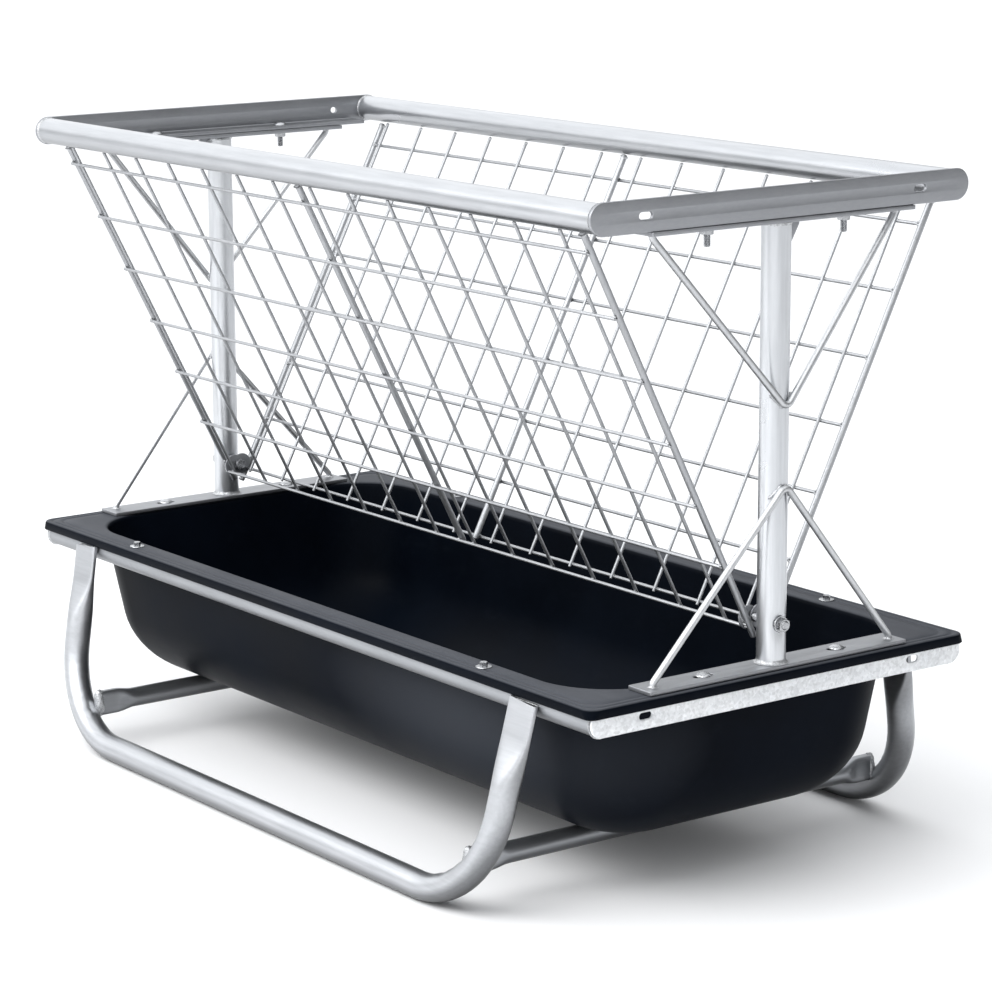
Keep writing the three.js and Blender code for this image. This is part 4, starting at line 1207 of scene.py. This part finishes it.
def add_domed_bolt(shape, centre, seat_z, top_z, tip_z):
    """A domed head on its seat, and the threaded shank that runs down from it."""
    height = top_z - seat_z
    profile = [(max(share * DOME_RADIUS, 0.02 * MM), lift * height) for share, lift in DOME]
    profile.append((0.02 * MM, 0))
    add_lathe(shape, profile, Vector((centre.x, centre.y, seat_z)), Z_AXIS)
    shank_z = seat_z - 1 * MM
    add_thread(shape, Vector((centre.x, centre.y, shank_z)), -Z_AXIS, BOLT_RADIUS, shank_z - tip_z)


def add_nut(shape, centre, base_z, height):
    base = Vector((centre.x, centre.y, base_z))
    add_hex(shape, base, Z_AXIS, NUT_FLATS, height, BOLT_RADIUS)


def build_rim_bolt(side_name, end_name):
    """A hex screw with a broad dished washer, its tip inside the rim tube."""
    node = f"rim_bolt_{side_name}_{end_name}"
    low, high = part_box(node)
    centre = middle(node)
    shape = Shape()
    rise = RIM_WASHER_THICKNESS
    washer = [(RIM_SCREW_RADIUS, 0.2 * MM), (RIM_WASHER_RADIUS - 0.4 * MM, 0),
              (RIM_WASHER_RADIUS, 0.3 * MM), (RIM_WASHER_RADIUS - 0.3 * MM, 0.8 * MM),
              (RIM_SCREW_FLATS / 2, rise), (RIM_SCREW_RADIUS, rise)]
    seat = Vector((centre.x, centre.y, RIM_TOP + RIM_WASHER_LIFT))
    add_lathe(shape, washer, seat, Z_AXIS, closed=True)
    head = Vector((centre.x, centre.y, RIM_TOP + rise))
    add_hex(shape, head, Z_AXIS, RIM_SCREW_FLATS, high.z - head.z)
    add_thread(shape, head, -Z_AXIS, RIM_SCREW_RADIUS, head.z - low.z, 1.2 * MM)
    shape.place(node, 30, "zinc_plated")


def build_plate_bolt(side_name, end_name):
    """A domed bolt down through plate, flange and angle, with its nut under the angle."""
    node = f"plate_bolt_{side_name}_{end_name}"
    low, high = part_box(node)
    centre = middle(node)
    shape = Shape()
    add_domed_bolt(shape, centre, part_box(f"end_plate_{end_name}")[1].z, high.z, low.z)
    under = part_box(f"base_angle_{end_name}")[1].z - BASE_ANGLE_THICKNESS
    add_nut(shape, centre, under - NUT_HEIGHT, NUT_HEIGHT)
    shape.place(node, 30, "zinc_plated")


def build_strap_bolt(side_name, end_name):
    """A domed bolt down through the top angle and the strap, and its nut, a node of its own."""
    node = f"strap_bolt_{side_name}_{end_name}"
    nut = f"strap_nut_{side_name}_{end_name}"
    low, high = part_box(node)
    centre = middle(node)
    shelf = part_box(f"top_angle_{end_name}")[0].z + RING_ANGLE_THICKNESS
    shape = Shape()
    add_domed_bolt(shape, centre, shelf, high.z, low.z)
    shape.place(node, 30, "zinc_plated")
    nut_low, nut_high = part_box(nut)
    shape = Shape()
    add_nut(shape, centre, nut_low.z, nut_high.z - nut_low.z)
    shape.place(nut, 30, "zinc_plated")


def build_foot_bolt(end_name, end):
    """The bolt that holds both panels' feet to a post, and its nut with a washer."""
    bolt, nut = f"foot_bolt_{end_name}", f"foot_nut_{end_name}"
    low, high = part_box(bolt)
    centre = middle(bolt)
    inner, tip = (low.x, high.x) if end > 0 else (high.x, low.x)
    axis = X_AXIS * end
    shape = Shape()
    head = Vector((inner, centre.y, centre.z))
    add_hex(shape, head, axis, FOOT_NUT_FLATS, 7.5 * MM)
    length = abs(tip - inner) - 6 * MM
    add_thread(shape, head + axis * 6 * MM, axis, FOOT_BOLT_RADIUS, length, 1.75 * MM)
    shape.place(bolt, 30, "zinc_plated")
    nut_low, nut_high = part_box(nut)
    near = Vector((nut_low.x if end > 0 else nut_high.x, centre.y, centre.z))
    rim, thick = FOOT_WASHER_RADIUS, FOOT_WASHER_THICKNESS
    edge = 0.5 * MM
    washer = [(FOOT_BOLT_RADIUS, 0), (rim - edge, 0), (rim, edge), (rim, thick - edge),
              (rim - edge, thick), (FOOT_BOLT_RADIUS, thick)]
    shape = Shape()
    add_lathe(shape, washer, near - axis * 2.6 * MM, axis, closed=True)
    add_hex(shape, near, axis, FOOT_NUT_FLATS, abs(nut_high.x - nut_low.x), FOOT_BOLT_RADIUS)
    shape.place(nut, 30, "zinc_plated")


# ---- assembly -----------------------------------------------------------------------------

def build_object():
    build_trough()
    for side_name, side in SIDES:
        build_long_tube(f"rim_tube_{side_name}", side, RIM_METAL, 0.99, 48, 40, 2.2 * MM, 11)
        build_leg_skid(side_name, side)
        build_long_tube(f"top_rail_{side_name}", side, RAIL_METAL, 1.0, 60, 56, 1.5 * MM, 171, 26)
        build_wire_grid(side_name, side)
        inset = BACK_END_ROD_OUT if side > 0 else -PANEL_ROD_INSET
        build_panel_rod(f"mid_rod_{side_name}", side, 0.0, -PANEL_ROD_INSET,
                        LAST_ROW + WIRE_OVERRUN, 261 + side)
        for end_name, end in ENDS:
            build_panel_rod(f"end_rod_{side_name}_{end_name}", side, end * end_rod_x(side), inset,
                            LAST_ROW + END_ROD_OVERRUN, 271 + side + 10 * end)
    for end_name, end in ENDS:
        build_angle("top", end_name, end, PLATE_METAL, RING_ANGLE_THICKNESS, RING_SHELF_HALF_Y, True)
        build_angle("base", end_name, end, ANGLE_METAL, BASE_ANGLE_THICKNESS, BASE_SHELF_HALF_Y, False)
        slots = [slot_outline(PLATE_SLOT_LENGTH, BOLT_HOLE, y) for y in (-STRIP_BOLT_Y, STRIP_BOLT_Y)]
        build_strip(f"end_plate_{end_name}", [[(-y, x) for x, y in slot] for slot in slots])
        holes = [circle_outline(BOLT_HOLE / 2, 0, y) for y in (-STRIP_BOLT_Y, STRIP_BOLT_Y)]
        build_strip(f"top_strap_{end_name}", holes)
        build_post(end_name, end)
        build_gusset(end_name, end)
        build_brace("lower", end_name, end, LOWER_BRACE_FOOT_X, LOWER_BRACE_APEX_Z)
        build_brace("upper", end_name, end, UPPER_BRACE_FOOT_X, UPPER_BRACE_APEX_Z)
        build_cross_tube(end_name, end)
        build_foot_bolt(end_name, end)
        for side_name, side in SIDES:
            build_ear(side_name, side, end_name, end)
            build_rim_bolt(side_name, end_name)
            build_plate_bolt(side_name, end_name)
            build_strap_bolt(side_name, end_name)


# ---- studio -------------------------------------------------------------------------------

WALL_WAY = (-0.45, -0.86, 0.25)
WORLD_WALL = 1.7
WORLD_DARK = 0.25
WORLD_TOP = 1.5
WORLD_HORIZON = 0.5
WORLD_COLOUR = (0.97, 0.985, 1.0, 1)
KEY_POWER = 45
WASH_POWER = 130
FLOOR_TONES = ((0.84, 0.84, 0.845), (0.86, 0.86, 0.865))


def add_floor():
    mesh = bpy.data.meshes.new("floor")
    reach = 60.0
    corners = [(-reach, -reach, 0), (reach, -reach, 0), (reach, reach, 0), (-reach, reach, 0)]
    mesh.from_pydata(corners, [], [(0, 1, 2, 3)])
    n = Nodes("pale_floor")
    tone = n.ramp(n.noise(0.8, 3, 0.5), [(0.3, FLOOR_TONES[0]), (0.7, FLOOR_TONES[1])])
    n.tree.links.new(tone, n.shader.inputs["Base Color"])
    n.shader.inputs["Roughness"].default_value = 0.9
    n.shader.inputs["Specular IOR Level"].default_value = 0.1
    mesh.materials.append(n.material)
    floor = bpy.data.objects.new("floor", mesh)
    bpy.context.scene.collection.objects.link(floor)


def add_area_light(name, place, target, width, height, power):
    data = bpy.data.lights.new(name, "AREA")
    data.shape = "RECTANGLE"
    data.size = width
    data.size_y = height
    data.energy = power
    light = bpy.data.objects.new(name, data)
    light.location = place
    light.rotation_euler = (Vector(target) - Vector(place)).to_track_quat("-Z", "Y").to_euler()
    bpy.context.scene.collection.objects.link(light)


def add_world():
    """A studio with a bright wall to the front and left, a darker one behind and to the right, so
    that round metal shows its form."""
    world = bpy.data.worlds.new("studio")
    world.use_nodes = True
    bpy.context.scene.world = world
    tree = world.node_tree
    background = tree.nodes["Background"]
    direction = add_node(tree, "ShaderNodeTexCoord", {}, "Generated")

    def towards(way, low, high, dark, light):
        dot = add_node(tree, "ShaderNodeVectorMath", {0: direction, 1: way}, "Value",
                       operation="DOT_PRODUCT")
        sockets = {"Value": dot, "From Min": low, "From Max": high, "To Min": dark, "To Max": light}
        return add_node(tree, "ShaderNodeMapRange", sockets, "Result", interpolation_type="SMOOTHSTEP")

    def combined(operation, first, second):
        return add_node(tree, "ShaderNodeMath", {0: first, 1: second}, "Value", operation=operation)

    wall = towards(WALL_WAY, -0.5, 0.15, WORLD_DARK, WORLD_WALL)
    low_band = towards(Z_AXIS, 0.02, 0.28, WORLD_HORIZON, 1.0)
    height = towards(Z_AXIS, 0.5, 0.85, 0.0, WORLD_TOP)
    strength = combined("MAXIMUM", combined("MULTIPLY", wall, low_band), height)
    tree.links.new(strength, background.inputs["Strength"])
    background.inputs["Color"].default_value = WORLD_COLOUR


build_object()
add_camera()
add_floor()
add_area_light("key", (-1.6, -5.0, 3.4), (0, 0, 0.5), 3.4, 2.6, KEY_POWER)
add_area_light("floor_wash", (-0.4, -3.2, 2.7), (-0.5, -3.0, 0), 5.5, 2.2, WASH_POWER)
add_world()
bpy.context.scene.view_settings.view_transform = "Standard"
